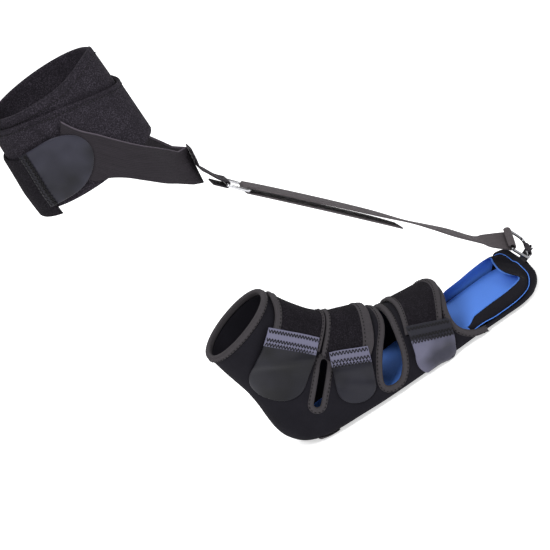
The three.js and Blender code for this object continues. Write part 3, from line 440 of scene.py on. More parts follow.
class Boot:
    """The boot's outer surface as a fine grid, with a tree for finding places on it."""

    def __init__(self):
        numbers = np.linspace(0, len(SECTIONS) - 1, (len(SECTIONS) - 1) * BOOT_STEPS + 1)
        turns = 2 * math.pi * np.arange(BOOT_AROUND) / BOOT_AROUND
        self.points = boot_points(section_rows(numbers)[:, None], turns[None])
        self.out = grid_normals(self.points, True)
        middle = self.points.mean(1, keepdims=True)
        if ((self.points - middle) * self.out).sum() < 0:
            self.out = -self.out
        rows, cols = self.points.shape[:2]
        self.faces = quads(rows, cols, True)
        flat = self.points.reshape(-1, 3)
        self.tree = BVHTree.FromPolygons([Vector(p) for p in flat], self.faces)

    def smooth_out(self, place, index):
        """The outward direction at a place on a face, blended from the face's corners."""
        corners = list(self.faces[index])
        flat = self.points.reshape(-1, 3)[corners]
        weight = 1 / (np.linalg.norm(flat - np.asarray(place), axis=1) + 1e-3) ** 2
        return unit((self.out.reshape(-1, 3)[corners] * weight[:, None]).sum(0))

    def hit(self, x, z, hand=-1):
        """The place on the outer (-1) or inner (+1) side seen at x and z."""
        place, _, index, _ = self.tree.ray_cast(Vector((x, hand * 300, z)),
                                                Vector((0, -hand, 0)))
        if place is None:
            return None
        return np.array(place), self.smooth_out(place, index)

    def near(self, point):
        """The closest place on the boot to a point, and its outward direction."""
        place, _, index, _ = self.tree.find_nearest(Vector(point))
        return np.array(place), self.smooth_out(place, index)

    def settle(self, line):
        """A line of points laid onto the surface: places and outward directions."""
        found = [self.near(p) for p in line]
        return np.array([f[0] for f in found]), np.array([f[1] for f in found])

    def at(self, turn, number):
        """Places and outward directions at turns (degrees) and section numbers."""
        turn, number = np.broadcast_arrays(np.radians(turn), number)

        def place(t, n):
            return boot_points(section_rows(n), t)

        over = place(turn + 0.02, number) - place(turn - 0.02, number)
        along = place(turn, number + 0.02) - place(turn, number - 0.02)
        return place(turn, number), unit(np.cross(over, along))


boot = Boot()


def side(x, z):
    """Shares of the boot's reach and height in millimetres."""
    return x * FOOT_REACH, z * BOOT_HEIGHT - SOLE_DROP


def outline_mm(rows, count, closed=True):
    """A smooth outline through shares of the boot's reach and height."""
    return curve([side(x, z) for x, z in rows], count, closed)


def grown(outline, distance):
    """A closed outline moved outwards."""
    area = np.sum(outline[:, 0] * np.roll(outline[:, 1], -1)
                  - np.roll(outline[:, 0], -1) * outline[:, 1])
    aim = unit(np.roll(outline, -1, 0) - np.roll(outline, 1, 0))
    return outline + np.stack([aim[:, 1], -aim[:, 0]], 1) * distance * (1 if area > 0 else -1)


def slot_outline(start, aim, length, half, steps=10):
    """Outline of a slot with round ends."""
    points = []
    for end, first in ((0, aim + 90), (length, aim - 90)):
        cx = start[0] + math.cos(math.radians(aim)) * end
        cz = start[1] + math.sin(math.radians(aim)) * end
        for k in range(steps + 1):
            turn = math.radians(first + 180 * k / steps)
            points.append((cx + math.cos(turn) * half, cz + math.sin(turn) * half))
    return np.array(points)


gap_hole = outline_mm(GAP_OUTLINE, 90)
slit_hole = slot_outline(side(0.168, 0.467), 225, 43, 3.5)
toe_line = outline_mm(TOE_LINE, 60, False)


# Shader nodes

class Value:
    """A number that comes out of a node, for writing shader maths as expressions."""

    def __init__(self, sheet, socket):
        self.sheet, self.socket = sheet, socket

    def _maths(self, operation, *others):
        return self.sheet.node("ShaderNodeMath", {"operation": operation}, *others)

    def __add__(self, other):
        return self._maths("ADD", self, other)

    def __sub__(self, other):
        return self._maths("SUBTRACT", self, other)

    def __mul__(self, other):
        return self._maths("MULTIPLY", self, other)

    def __rsub__(self, other):
        return self._maths("SUBTRACT", other, self)

    __radd__ = __add__
    __rmul__ = __mul__


class Finish:
    """A material with one Principled shader, built from expressions."""

    def __init__(self, name, colour, roughness, metallic=0.0, **fixed):
        self.material = bpy.data.materials.new(name)
        self.material.use_nodes = True
        self.material.diffuse_color = (*colour, 1)
        self.tree = self.material.node_tree
        self.shader = self.tree.nodes["Principled BSDF"]
        self.set("Base Color", (*colour, 1))
        self.set("Roughness", roughness)
        self.set("Metallic", metallic)
        for key, value in fixed.items():
            self.set(key.replace("_", " "), value)

    def feed(self, target, value):
        """Links or sets a socket."""
        if isinstance(value, Value):
            self.tree.links.new(value.socket, target)
        else:
            target.default_value = value

    def set(self, socket, value):
        self.feed(self.shader.inputs[socket], value)

    def node(self, kind, settings=None, *values, out=0, at=None, **named):
        """A node with its settings, then the values or links of its sockets."""
        made = self.tree.nodes.new(kind)
        for key, value in (settings or {}).items():
            setattr(made, key, value)
        for index, value in zip(at or range(len(values)), values):
            self.feed(made.inputs[index], value)
        for key, value in named.items():
            self.feed(made.inputs[key.replace("_", " ")], value)
        return Value(self, made.outputs[out])

    def place(self, scale=(1, 1, 1), source="Object"):
        """Stretched coordinates of the object, or of its cloth map."""
        where = self.node("ShaderNodeTexCoord", out=source)
        return self.node("ShaderNodeMapping", None, where, Scale=scale)

    def noise(self, where, scale, detail=2.0, rough=0.5):
        return self.node("ShaderNodeTexNoise", None, Vector=where, Scale=scale, Detail=detail,
                         Roughness=rough)

    def ramp(self, value, low, high):
        """A value as a share of the way from low to high."""
        return self.node("ShaderNodeMapRange", {"clamp": True}, value, low, high)

    def mix(self, share, first, second):
        """A colour between two colours."""
        return self.node("ShaderNodeMix", {"data_type": "RGBA"}, share, first, second,
                         out=2, at=(0, 6, 7))

    def wave(self, value, pitch):
        """A sine wave with the given pitch in millimetres."""
        return self.node("ShaderNodeMath", {"operation": "SINE"},
                         value * (2 * math.pi / (pitch * MM)))

    def split(self, where):
        """The three parts of a place."""
        parts = self.node("ShaderNodeSeparateXYZ", None, where)
        return [Value(self, socket) for socket in parts.socket.node.outputs]

    def relief(self, height, strength, distance):
        self.set("Normal", self.node("ShaderNodeBump", None, Strength=strength,
                                     Distance=distance, Height=height))


def tint(colour, factor):
    """A colour made lighter or darker."""
    return (*(min(1.0, c * factor) for c in colour), 1)


def loop_cloth(name, colour, speck=1.0):
    """Brushed loop fabric over foam: fine light specks on a near-black pile."""
    look = Finish(name, colour, 0.95, Specular_IOR_Level=0.06)
    where = look.place()
    fine = look.noise(where, 900, 2.0, 0.65)
    broad = look.noise(where, 60, 3.0, 0.6)
    light = look.ramp(fine, 0.46, 0.68) * (0.55 + look.ramp(broad, 0.35, 0.7) * 0.6) * speck
    look.set("Base Color", look.mix(light, tint(colour, 0.75), tint(colour, 2.6)))
    look.set("Roughness", 0.98 - light * 0.12)
    look.relief(fine + broad * 0.6, 0.45, 0.0006)
    return look.material


def smooth_cloth(name, colour):
    """Knit face of foam fabric: nearly plain, with a very fine grain."""
    look = Finish(name, colour, 0.9, Specular_IOR_Level=0.06)
    where = look.place()
    grain = look.noise(where, 1400, 1.0, 0.5)
    broad = look.noise(where, 35, 3.0, 0.55)
    look.set("Base Color", look.mix(look.ramp(grain * 0.5 + broad * 0.5, 0.3, 0.7),
                                    tint(colour, 0.85), tint(colour, 1.35)))
    look.set("Roughness", 0.84 + grain * 0.12)
    look.relief(grain * 0.5 + broad, 0.25, 0.0006)
    return look.material


def woven(name, colour, pitch, rough, streak, turned=False, highlight_width=0.0):
    """Webbing: ribs along its length crossed by fine picks, read from the piece's own UV, with
    a painted highlight along one edge, standing in for light caught by the edge, where a width for
    it is given."""
    look = Finish(name, colour, rough, Specular_IOR_Level=0.12)
    along, across, _ = look.split(look.place(source="UV"))
    if turned:
        along, across = across, along
    ribs = look.wave(across, pitch)
    picks = look.wave(along, pitch * 0.7)
    weave = ribs * 0.5 + ribs * picks * 0.5
    stretch = (900, 30, 1) if turned else (30, 900, 1)
    streaks = look.noise(look.place(stretch, "UV"), 1.0, 3.0, 0.6)
    light = look.ramp(weave * 0.25 + streaks * streak + (0.5 - streak * 0.5), 0.25, 0.75)
    cloth = look.mix(light, tint(colour, 0.7), tint(colour, 1.35))
    # Painted highlight: the strip along one edge is painted four times lighter, standing in for
    # light caught by the edge.
    if highlight_width:
        cloth = look.mix(look.ramp(across, highlight_width, highlight_width * 0.6), cloth, tint(colour, 4.0))
    look.set("Base Color", cloth)
    look.set("Roughness", rough + light * 0.1)
    look.relief(weave * 0.6 + streaks * 0.5, 0.5, 0.0004)
    return look.material


def hook_cloth(name, colour, root, depth):
    """Smooth backing of hook tape, mottled and dented, its sewn root band given painted light of
    its own: a factor on the tab's colour, a painted highlight above 1 and painted shade below.
    """
    look = Finish(name, colour, 0.38, Specular_IOR_Level=0.2)
    where = look.place()
    grain = look.noise(where, 1800, 1.0, 0.5)
    soft = look.noise(where, 22, 2.0, 0.5)
    _, along, _ = look.split(look.place(source="UV"))
    sewn = look.ramp(along, depth, depth - 0.001)
    patchy = look.ramp(soft, 0.36, 0.62)
    plain = look.mix(patchy, tint(colour, 0.6), tint(colour, 2.0))
    # The sewn root band gets painted light: a painted highlight where root is above 1, painted
    # shade where it is below.
    look.set("Base Color", look.mix(sewn, plain, tint(colour, root)))
    look.set("Roughness", 0.28 + patchy * 0.12 + grain * 0.08 + sewn * 0.15)
    look.relief(soft + grain * 0.03, 0.5, 0.006)
    return look.material


def lining_cloth(name, colour):
    """Blue knit lining, softly shaded, with a fine grain."""
    look = Finish(name, colour, 0.85, Specular_IOR_Level=0.3)
    where = look.place()
    grain = look.noise(where, 1500, 1.0, 0.5)
    broad = look.noise(where, 14, 2.0, 0.5)
    look.set("Base Color", look.mix(look.ramp(grain * 0.4 + broad * 0.6, 0.3, 0.7),
                                    tint(colour, 0.88), tint(colour, 1.12)))
    look.set("Roughness", 0.8 + grain * 0.1)
    look.relief(grain * 0.3 + broad, 0.2, 0.0008)
    return look.material


def plated(name, colour):
    """Chrome plated wire with faint scuffs."""
    look = Finish(name, colour, 0.12, 1.0)
    where = look.place()
    scuff = look.noise(where, 260, 4.0, 0.7)
    look.set("Roughness", 0.08 + look.ramp(scuff, 0.45, 0.8) * 0.18)
    look.set("Base Color", look.mix(scuff, tint(colour, 0.9), tint(colour, 1.05)))
    look.relief(scuff, 0.05, 0.0002)
    return look.material


def thread(name, colour):
    """Sewing thread with a fine twist."""
    look = Finish(name, colour, 0.7, Specular_IOR_Level=0.2)
    where = look.place()
    twist = look.noise(where, 2500, 1.0, 0.5)
    look.set("Base Color", look.mix(twist, tint(colour, 0.7), tint(colour, 1.4)))
    look.relief(twist, 0.4, 0.0002)
    return look.material


LOOKS = {}


# Stitches

def node_group(name, inputs):
    """A geometry node tree with named inputs, its input node and its output node."""
    tree = bpy.data.node_groups.new(name, "GeometryNodeTree")
    for label, kind, value in (("Geometry", "Geometry", None), *inputs):
        socket = tree.interface.new_socket(label, in_out="INPUT",
                                           socket_type="NodeSocket" + kind)
        if value is not None:
            socket.default_value = value
    tree.interface.new_socket("Geometry", in_out="OUTPUT", socket_type="NodeSocketGeometry")
    return tree, tree.nodes.new("NodeGroupInput"), tree.nodes.new("NodeGroupOutput")


def wire_up(tree, rows):
    """Links in a tree, each from a node's output to a node's input."""
    for source, out, target, into in rows:
        tree.links.new(source.outputs[out], target.inputs[into])


def stitch_tree():
    """Nodes that lay one stitch on each point, along its aim and on its up direction."""
    tree, came, gone = node_group("stitch_run", (
        ("Length", "Float", 0.003), ("Thickness", "Float", 0.0009), ("Thread", "Material", None)))
    points, ball, aim, up, lie, stand, size, place, real, finish = map(tree.nodes.new, (
        "GeometryNodeMeshToPoints", "GeometryNodeMeshUVSphere", "GeometryNodeInputNamedAttribute",
        "GeometryNodeInputNamedAttribute", "FunctionNodeAlignRotationToVector",
        "FunctionNodeAlignRotationToVector", "ShaderNodeCombineXYZ",
        "GeometryNodeInstanceOnPoints", "GeometryNodeRealizeInstances",
        "GeometryNodeSetMaterial"))
    for label, value in (("Segments", 6), ("Rings", 4), ("Radius", 0.5)):
        ball.inputs[label].default_value = value
    for node, name in ((aim, "aim"), (up, "up")):
        node.data_type = "FLOAT_VECTOR"
        node.inputs["Name"].default_value = name
    lie.axis, stand.axis, stand.pivot_axis = "X", "Z", "X"
    wire_up(tree, (
        (came, "Geometry", points, "Mesh"), (aim, "Attribute", lie, "Vector"),
        (lie, "Rotation", stand, "Rotation"), (up, "Attribute", stand, "Vector"),
        (came, "Length", size, "X"), (came, "Thickness", size, "Y"),
        (came, "Thickness", size, "Z"), (points, "Points", place, "Points"),
        (ball, "Mesh", place, "Instance"), (stand, "Rotation", place, "Rotation"),
        (size, "Vector", place, "Scale"), (place, "Instances", real, "Geometry"),
        (real, "Geometry", finish, "Geometry"), (came, "Thread", finish, "Material"),
        (finish, "Geometry", gone, "Geometry")))
    return tree


def baked(thing):
    """The mesh of an object with its modifiers applied."""
    bpy.context.view_layer.update()
    ready = thing.evaluated_get(bpy.context.evaluated_depsgraph_get())
    return bpy.data.meshes.new_from_object(ready)


def through_nodes(name, source, tree, settings):
    """The source object run through a node tree, as a plain mesh object."""
    modifier = source.modifiers.new("nodes", "NODES")
    modifier.node_group = tree
    for item in tree.interface.items_tree:
        if item.item_type == "SOCKET" and item.in_out == "INPUT" and item.name in settings:
            modifier[item.identifier] = settings[item.name]
    piece = put(name, baked(source))
    piece.data.name = name
    bpy.data.objects.remove(source)
    smooth_faces(piece)
    return piece


def stitches(name, spots, length, thickness, material):
    """Stitches at spots, each a place, an aim and an up direction in millimetres."""
    mesh = raw_mesh(name + "_spots", [spot[0] for spot in spots])
    for label, index in (("aim", 1), ("up", 2)):
        data = mesh.attributes.new(label, "FLOAT_VECTOR", "POINT")
        data.data.foreach_set("vector", np.array([s[index] for s in spots], float).ravel())
    tree = bpy.data.node_groups.get("stitch_run") or stitch_tree()
    return through_nodes(name, put(name + "_spots", mesh), tree, {
        "Length": length * MM, "Thickness": thickness * MM, "Thread": material})


def run_spots(line, out, pitch, closed=False, zigzag=0.0):
    """Stitch spots along a line; zigzag turns every other one by that many degrees."""
    count = max(2, int(run_lengths(line)[-1] / pitch))
    both = spread(np.concatenate([line, out], 1), count, closed)
    places, ups = both[:, :3], unit(both[:, 3:])
    aims = tangents(places, closed)
    spots = []
    for k, (p, up, aim) in enumerate(zip(places, ups, aims)):
        cross = np.cross(up, aim)
        turn = math.radians(zigzag if k % 2 else -zigzag)
        spots.append((p, aim * math.cos(turn) + cross * math.sin(turn), up))
    return spots


SPOTS = {"tape": [], "zigzag": []}


# The boot's pieces

def prism(name, outline, low, high):
    """A closed solid across the boot whose outline is drawn from the side."""
    points = [(x, y, z) for y in (low, high) for x, z in outline]
    return outward(new_piece(name, points, tube(2, len(outline)), LOOKS["knit"]))


def boot_body(name, stand, lift, set_back):
    """The boot as a closed body, grown or shrunk, its collar drawn on upwards."""
    grid = boot.points + boot.out * stand
    numbers = np.linspace(0, len(SECTIONS) - 1, len(grid))
    grid[..., 0] -= set_back * np.clip((numbers - 21) / 5, 0, 1)[:, None]
    if lift:
        grid = np.concatenate([grid[:1] + np.array([-0.25, 0, 1]) * lift, grid])
    return outward(new_piece(name, grid.reshape(-1, 3), tube(*grid.shape[:2]), LOOKS["knit"]))


def carve(piece, cutters):
    """Cuts closed solids out of a piece and removes them."""
    for cutter in cutters:
        cut = piece.modifiers.new("cut", "BOOLEAN")
        cut.operation, cut.solver, cut.object = "DIFFERENCE", "EXACT", cutter
    mesh = baked(piece)
    piece.modifiers.clear()
    piece.data = mesh
    mesh.name = piece.name
    for cutter in cutters:
        bpy.data.objects.remove(cutter)


def toe_outline(distance):
    """Side view of what is cut away over the toes, its edge moved outwards."""
    line = np.concatenate([toe_line, [(FOOT_REACH * 1.1, RIM_TOP), (FOOT_REACH * 1.1, 160),
                                      (toe_line[0][0], 160)]])
    moved = grown(line, distance)
    edge = moved[:len(toe_line)]
    edge[:, 1] = np.maximum(edge[:, 1], RIM_TOP)
    return np.concatenate([edge, [(FOOT_REACH * 1.2, RIM_TOP), (FOOT_REACH * 1.2, 170),
                                  (edge[0, 0], 170)]])


def seam_line(outline, hands, closed, count):
    """An outline seen from the side, laid onto the boot: places and outward directions."""
    dense = spread(np.concatenate([outline, outline[:1]]) if closed else outline, 500)
    runs = []
    for hand in hands:
        found = [boot.hit(x, z, hand) for x, z in dense]
        kept = [k for k, f in enumerate(found) if f is not None]
        if closed and len(kept) < len(found):
            gaps = [k for k in range(len(kept)) if kept[k] - kept[k - 1] != 1]
            start = gaps[-1] if gaps else 0
            kept = kept[start:] + kept[:start]
        runs.append([found[k][0] for k in kept])
    line = runs[0] if len(runs) == 1 else (
        runs[0] + runs[1][::-1] if closed else runs[0][::-1] + runs[1])

    def even(points):
        return spread(np.concatenate([points, points[:1]]) if closed else points, count, closed)

    line = even(np.array(line))
    for _ in range(4):
        line = boot.settle(line)[0]
        if closed:
            line = (np.roll(line, 1, 0) + 2 * line + np.roll(line, -1, 0)) / 4
        else:
            line[1:-1] = (line[:-2] + 2 * line[1:-1] + line[2:]) / 4
        line = even(line)
    return boot.settle(line)


def edge_tape(name, line, out, closed, away, width):
    """Bound edge along a line, its width on the side away from the opening, and its stitches."""
    side_way = unit(np.cross(out, tangents(line, closed)))
    if (side_way * away).sum() < 0:
        side_way = -side_way
    piece = sweep(name + "_tape", line, side_way, out,
                  rounded(width, TAPE_LOW, TAPE_HIGH, 2.4), LOOKS["tape"], closed)
    seam = line + side_way * (width - 1.7) + out * (TAPE_HIGH + 0.05)
    SPOTS["tape"] += run_spots(seam, out, 4.0, closed)
    dress(piece, "binding", name + "_binding")


def colour_prop(name, description, default):
    """A colour that a user may change."""
    return bpy.props.FloatVectorProperty(name=name, description=description, default=default,
                                         subtype="COLOR", min=0, max=1)


class Colours(bpy.types.PropertyGroup):
    """Colours of the cloths"""
    pile: colour_prop("Loop cloth", "Brushed loop fabric", (0.0088, 0.0077, 0.0100))
    knit: colour_prop("Foam knit", "Face of the foam fabric", (0.0095, 0.0090, 0.0120))
    tape: colour_prop("Edge tape", "Bound edges", (0.044, 0.040, 0.044))
    hook: colour_prop("Tabs", "Backs of the hook tabs", (0.0085, 0.0084, 0.0125))
    yoke: colour_prop("Yoke", "Wide webbing", (0.0185, 0.0158, 0.0195))
    strap: colour_prop("Pull strap", "Narrow webbing", (0.064, 0.056, 0.060))
    lining: colour_prop("Lining", "Blue lining", (0.062, 0.180, 0.600))


def length_prop(name, description, default, low, high):
    """A length that a user may change, in metres."""
    return bpy.props.FloatProperty(name=name, description=description, default=default,
                                   min=low, max=high, unit="LENGTH", precision=4)


class Sizes(bpy.types.PropertyGroup):
    """Sizes of the soft pieces"""
    strap_wall: length_prop("Strap wall", "Thickness of the padded straps", 0.003, 0.001, 0.005)
    tab_wall: length_prop("Tab wall", "Thickness of the hook tabs", 0.0016, 0.0008, 0.003)
    tape_width: length_prop("Tape width", "Width of the bound edges", 0.007, 0.004, 0.01)
    stitch_pitch: length_prop("Zigzag pitch", "Spacing of the tab stitches", 0.00155, 0.001, 0.004)
    view_distance: length_prop("View distance", "From the camera to the part", 2.1, 0.5, 10)


class SPLINT_OT_looks(bpy.types.Operator):
    """Finishes of the cloths, webbing, thread and chrome"""
    bl_idname = "splint.looks"
    bl_label = "Finishes"

    def execute(self, context):
        group = context.scene.splint_colours
        colours = {name: tuple(getattr(group, name)) for name in Colours.__annotations__}
        for spots in SPOTS.values():
            spots.clear()
        LOOKS["loop"] = loop_cloth("loop_cloth", colours["pile"])
        LOOKS["pile"] = loop_cloth("calf_loop", tint(colours["pile"], 1.9)[:3], 1.2)
        LOOKS["knit"] = smooth_cloth("foam_knit", colours["knit"])
        LOOKS["tape"] = woven("edge_tape", colours["tape"], 1.1, 0.85, 0.3)
        # Each tab is a copy of the same hook tape made lighter or darker by painted light: the
        # second number is that painted light, the third the painted light of the sewn root band as
        # a factor on the tab's colour (a painted highlight above 1, painted shade below), the last
        # how deep that band runs.
        for name, painted_light, root, depth in (
                ("ankle_tab", 0.8, 18.0, 0.0175), ("instep_tab", 0.8, 17.0, 0.0155),
                ("forefoot_tab", 6.5, 0.25, 0.0150), ("calf_tab", 1.5, 0.8, 0.0100)):
            LOOKS[name] = hook_cloth(name + "_hook", tint(colours["hook"], painted_light)[:3], root, depth)
        # The yoke's last number is the width of the painted highlight along its edge.
        LOOKS["yoke"] = woven("yoke_webbing", colours["yoke"], 1.6, 0.7, 0.8, True, 0.0016)
        LOOKS["strap"] = woven("strap_webbing", colours["strap"], 1.4, 0.7, 0.6)
        LOOKS["lead"] = woven("lead_webbing", colours["yoke"], 1.4, 0.7, 0.6)
        LOOKS["lining"] = lining_cloth("blue_lining", colours["lining"])
        LOOKS["chrome"] = plated("chrome_wire", (0.52, 0.52, 0.54))
        # A darker copy of the chrome for the toe ring: painted shade standing in for the dark
        # surroundings that it reflects.
        LOOKS["shaded_chrome"] = plated("dark_wire", (0.17, 0.17, 0.18))
        LOOKS["thread"] = thread("dark_thread", (0.006, 0.0055, 0.0065))
        LOOKS["piping"] = lining_cloth("blue_edge", tint(colours["lining"], 1.25)[:3])
        return {"FINISHED"}


class SPLINT_OT_sleeve(bpy.types.Operator):
    """Foam sleeve of the boot with its openings, heel patch and footbed"""
    bl_idname = "splint.sleeve"
    bl_label = "Foot sleeve"

    def execute(self, context):
        body = boot_body("foot_sleeve_cloth", 0, 0, 0)
        hidden = 3.0  # how far the cuts run on under the bound edges
        carve(body, [
            boot_body("hollow", -BOOT_WALL, 20, 12),
            prism("gap_cut", grown(gap_hole, hidden), -120, 120),
            prism("slit_cut", grown(slit_hole, hidden), -120, 0),
            prism("toe_cut", toe_outline(hidden), -120, 120)])
        places = np.empty(len(body.data.vertices) * 3)
        body.data.vertices.foreach_get("co", places)
        places = places.reshape(-1, 3) / MM
        above = eased((places[:, 2] + SOLE_DROP - hidden) / (RIM_TOP + SOLE_DROP - hidden))
        places[:, 2] += above * corner_lift(places)
        body.data.vertices.foreach_set("co", (places * MM).ravel())
        body.data.materials.clear()
        body.data.materials.append(LOOKS["knit"])
        smooth_faces(body)
        body.data.set_sharp_from_angle(angle=math.radians(40))
        dress(body, "neoprene", "foot_sleeve", fill=0.9)

        xs, ys = np.linspace(0.5, 23.5, 14), np.linspace(-34, 34, 24)
        grid = np.array([[self.under(x, y) for y in ys] for x in xs])
        patch = layer("heel_patch_cloth", grid, 2.0, LOOKS["tape"], 0.3,
                      normals=everywhere((0, 0, -1), grid))
        dress(patch, "binding", "heel_patch")

        plan = curve([(-0.030, 0.42), (0.0, 0.56), (0.06, 0.68), (0.30, 0.8), (0.60, 0.86),
                      (0.76, 0.86), (0.845, 0.84), (0.890, 0.74), (0.918, 0.50)], 60)
        half = plan[:, 1:] * FOOT_WIDTH / 2 - 1.7
        across = half * (2 * edged(80, 4, 1.5) - 1)
        grid = np.stack([plan[:, :1] * FOOT_REACH + 0 * across, across, 0 * across - 3.0], -1)
        for row in grid:
            for place in row:
                place[2] = max(place[2], self.under(place[0], place[1])[2] + 4.5)
        bed = layer("footbed_cloth", grid, 3.0, LOOKS["lining"],
                    normals=everywhere((0, 0, 1), grid))
        dress(bed, "lining", "footbed", fill=0.9)
        return {"FINISHED"}

    @staticmethod
    def under(x, y):
        place = boot.tree.ray_cast(Vector((x, y, -100)), Vector((0, 0, 1)))[0]
        return np.array(place)


class SPLINT_OT_bindings(bpy.types.Operator):
    """Bound edges of the gap, the slit, the toe opening and the collar"""
    bl_idname = "splint.bindings"
    bl_label = "Bound edges"

    def execute(self, context):
        width = context.scene.splint_sizes.tape_width / MM
        line, out = seam_line(gap_hole, (-1, 1), True, 220)
        edge_tape("gap", line, out, True, (line - line.mean(0)) * np.array([1, 0, 1]), width)
        line, out = seam_line(slit_hole, (-1,), True, 120)
        edge_tape("slit", line, out, True, line - line.mean(0), width - 0.4)
        line, out = seam_line(toe_line, (-1, 1), False, 160)
        edge_tape("toe", line, out, False, everywhere((-1, 0, 0), line), width)
        rise = np.array([-0.2425, 0, 0.9701])
        ring = boot.points[0] + rise * width
        edge_tape("collar", ring, boot.out[0], True, everywhere(-rise, ring), width)
        return {"FINISHED"}


def eased(value):
    """A soft step from 0 to 1."""
    t = np.clip(value, 0, 1)
    return t * t * (3 - 2 * t)


def corner_lift(points):
    """How far the strap draws the rim up at the toe's inner corner."""
    return (CORNER_LIFT * eased((points[..., 0] / FOOT_REACH - 0.875) / 0.045)
            * eased((points[..., 1] / (FOOT_WIDTH / 2) - 0.52) / 0.3))


def guard_line(column, height):
    """The guard's foot (column 0) or free edge (column 2) as a smooth line."""
    rows = [(r[column] * FOOT_REACH, r[column + 1] * FOOT_WIDTH / 2,
             height + r[4 + column // 2] * GUARD_HEIGHT) for r in GUARD]
    line = curve(rows, 120)
    line[:, 2] = np.maximum(line[:, 2], height)
    if column == 0:
        line[:, 2] += corner_lift(line + np.array([3.0, 3.0, 0]))
    return line


class SPLINT_OT_guard(bpy.types.Operator):
    """Toe guard: black outside, blue inside, with its blue seam"""
    bl_idname = "splint.guard"
    bl_label = "Toe guard"

    def execute(self, context):
        foot, edge = guard_line(0, RIM_TOP + 0.3), guard_line(2, RIM_TOP + GUARD_HEIGHT)
        held = 0.6 + 0.4 * eased((foot[:, :1] / FOOT_REACH - 0.655) / 0.05)
        edge = foot + (edge - foot) * held
        inward = np.array([[FOOT_REACH * 0.8, 0, 0]]) - foot
        aim = tangents(foot)
        flat = unit(np.stack([aim[:, 1], -aim[:, 0], 0 * aim[:, 0]], 1))
        flat *= np.where((flat * inward).sum(1) > 0, -1, 1)[:, None]
        rows = np.linspace(0, 1, 9)
        grid = np.stack([foot + (edge - foot) * r + flat * 0.8 * math.sin(math.pi * r)
                         for r in rows])
        out = np.broadcast_to(flat[None], grid.shape)
        black = layer("toe_guard_cloth", grid, 1.4, LOOKS["knit"], -1.4, normals=out)
        dress(black, "neoprene", "toe_guard", fill=0.8)
        taller = grid.copy()
        taller[-1] += unit(edge - foot) * 0.8
        blue = layer("toe_guard_lining", taller, 1.1, LOOKS["lining"], -2.5, normals=out)
        dress(blue, "lining", fill=0.8)
        cord = foot + flat * 1.1 + np.array([0, 0, 1.1])
        sleeve = bpy.data.objects["foot_sleeve_cloth"]
        for place in cord:
            found, spot, _, _ = sleeve.ray_cast(Vector((*place[:2] * MM, 0.016)), (0, 0, -1))
            if found:
                place[2] = max(place[2], spot.z / MM + 0.25)
        seam = sweep("toe_seam", cord, flat, everywhere((0, 0, 1), cord), oval(0.48, 0.48, 8),
                     LOOKS["piping"], False)
        dress(seam, "lining")
        return {"FINISHED"}


def strap_grid(left, right, s, t):
    """Places and outward directions of a strap between its left and right edges."""
    count = 64
    edges = []
    for rows in (curve(left, count), curve(right, count)):
        edges.append(np.stack([np.interp(s * (count - 1), np.arange(count), rows[:, k])
                               for k in (0, 1)], 1)[:, None])
    both = edges[0] * (1 - t)[None, :, None] + edges[1] * t[None, :, None]
    return boot.at(both[..., 0], both[..., 1])


class SPLINT_OT_straps(bpy.types.Operator):
    """Padded straps over the instep with their bound edges"""
    bl_idname = "splint.straps"
    bl_label = "Instep straps"

    def execute(self, context):
        sizes = context.scene.splint_sizes
        wall, bound = sizes.strap_wall / MM, sizes.tape_width / MM - 0.6
        for name, (left, right) in STRAPS.items():
            sides, _ = strap_grid(left, right, np.linspace(0, 1, 60), np.array([0.0, 1.0]))
            width = np.linalg.norm(sides[:, 1] - sides[:, 0], axis=1).mean()
            s = edged(run_lengths(sides[:, 0])[-1], 2.5, 1.5)
            grid, out = strap_grid(left, right, s, edged(width, 2.5, 1.5))
            strap = layer(name + "_cloth", grid, wall, LOOKS["loop"], STRAP_BASE, normals=out,
                          crown=0.5)
            dress(strap, "neoprene", name, fill=0.7)
            edge = bound / width
            tapes = []
            for number, (a, b) in enumerate(((-0.01, edge), (1 - edge, 1.01))):
                share = a + (b - a) * edged(bound, 1.0, 1.5)
                grid, out = strap_grid(left, right, s, share)
                tapes.append(layer(f"{name}_tape_{number}", grid, wall + 1.2, LOOKS["tape"], 0.5,
                                   normals=out, soft=1.8))
                row = np.array([0.72 if number == 0 else 0.28])
                seam, up = strap_grid(left, right, np.linspace(0, 1, 120), a + (b - a) * row)
                SPOTS["tape"] += run_spots(seam[:, 0] + up[:, 0] * (wall + 1.75), up[:, 0], 4.1)
            dress(join(name + "_edges", tapes), "binding")
        return {"FINISHED"}


def tab_point(spec, along, across):
    """A tab's point laid onto the boot's outer side: its place and outward direction."""
    x0, z0 = side(spec[0], spec[1])
    turn = math.radians(spec[2])
    x = x0 + math.cos(turn) * along - math.sin(turn) * across
    z = z0 + math.sin(turn) * along + math.cos(turn) * across
    return boot.hit(x, max(z, -SOLE_DROP * 0.6))


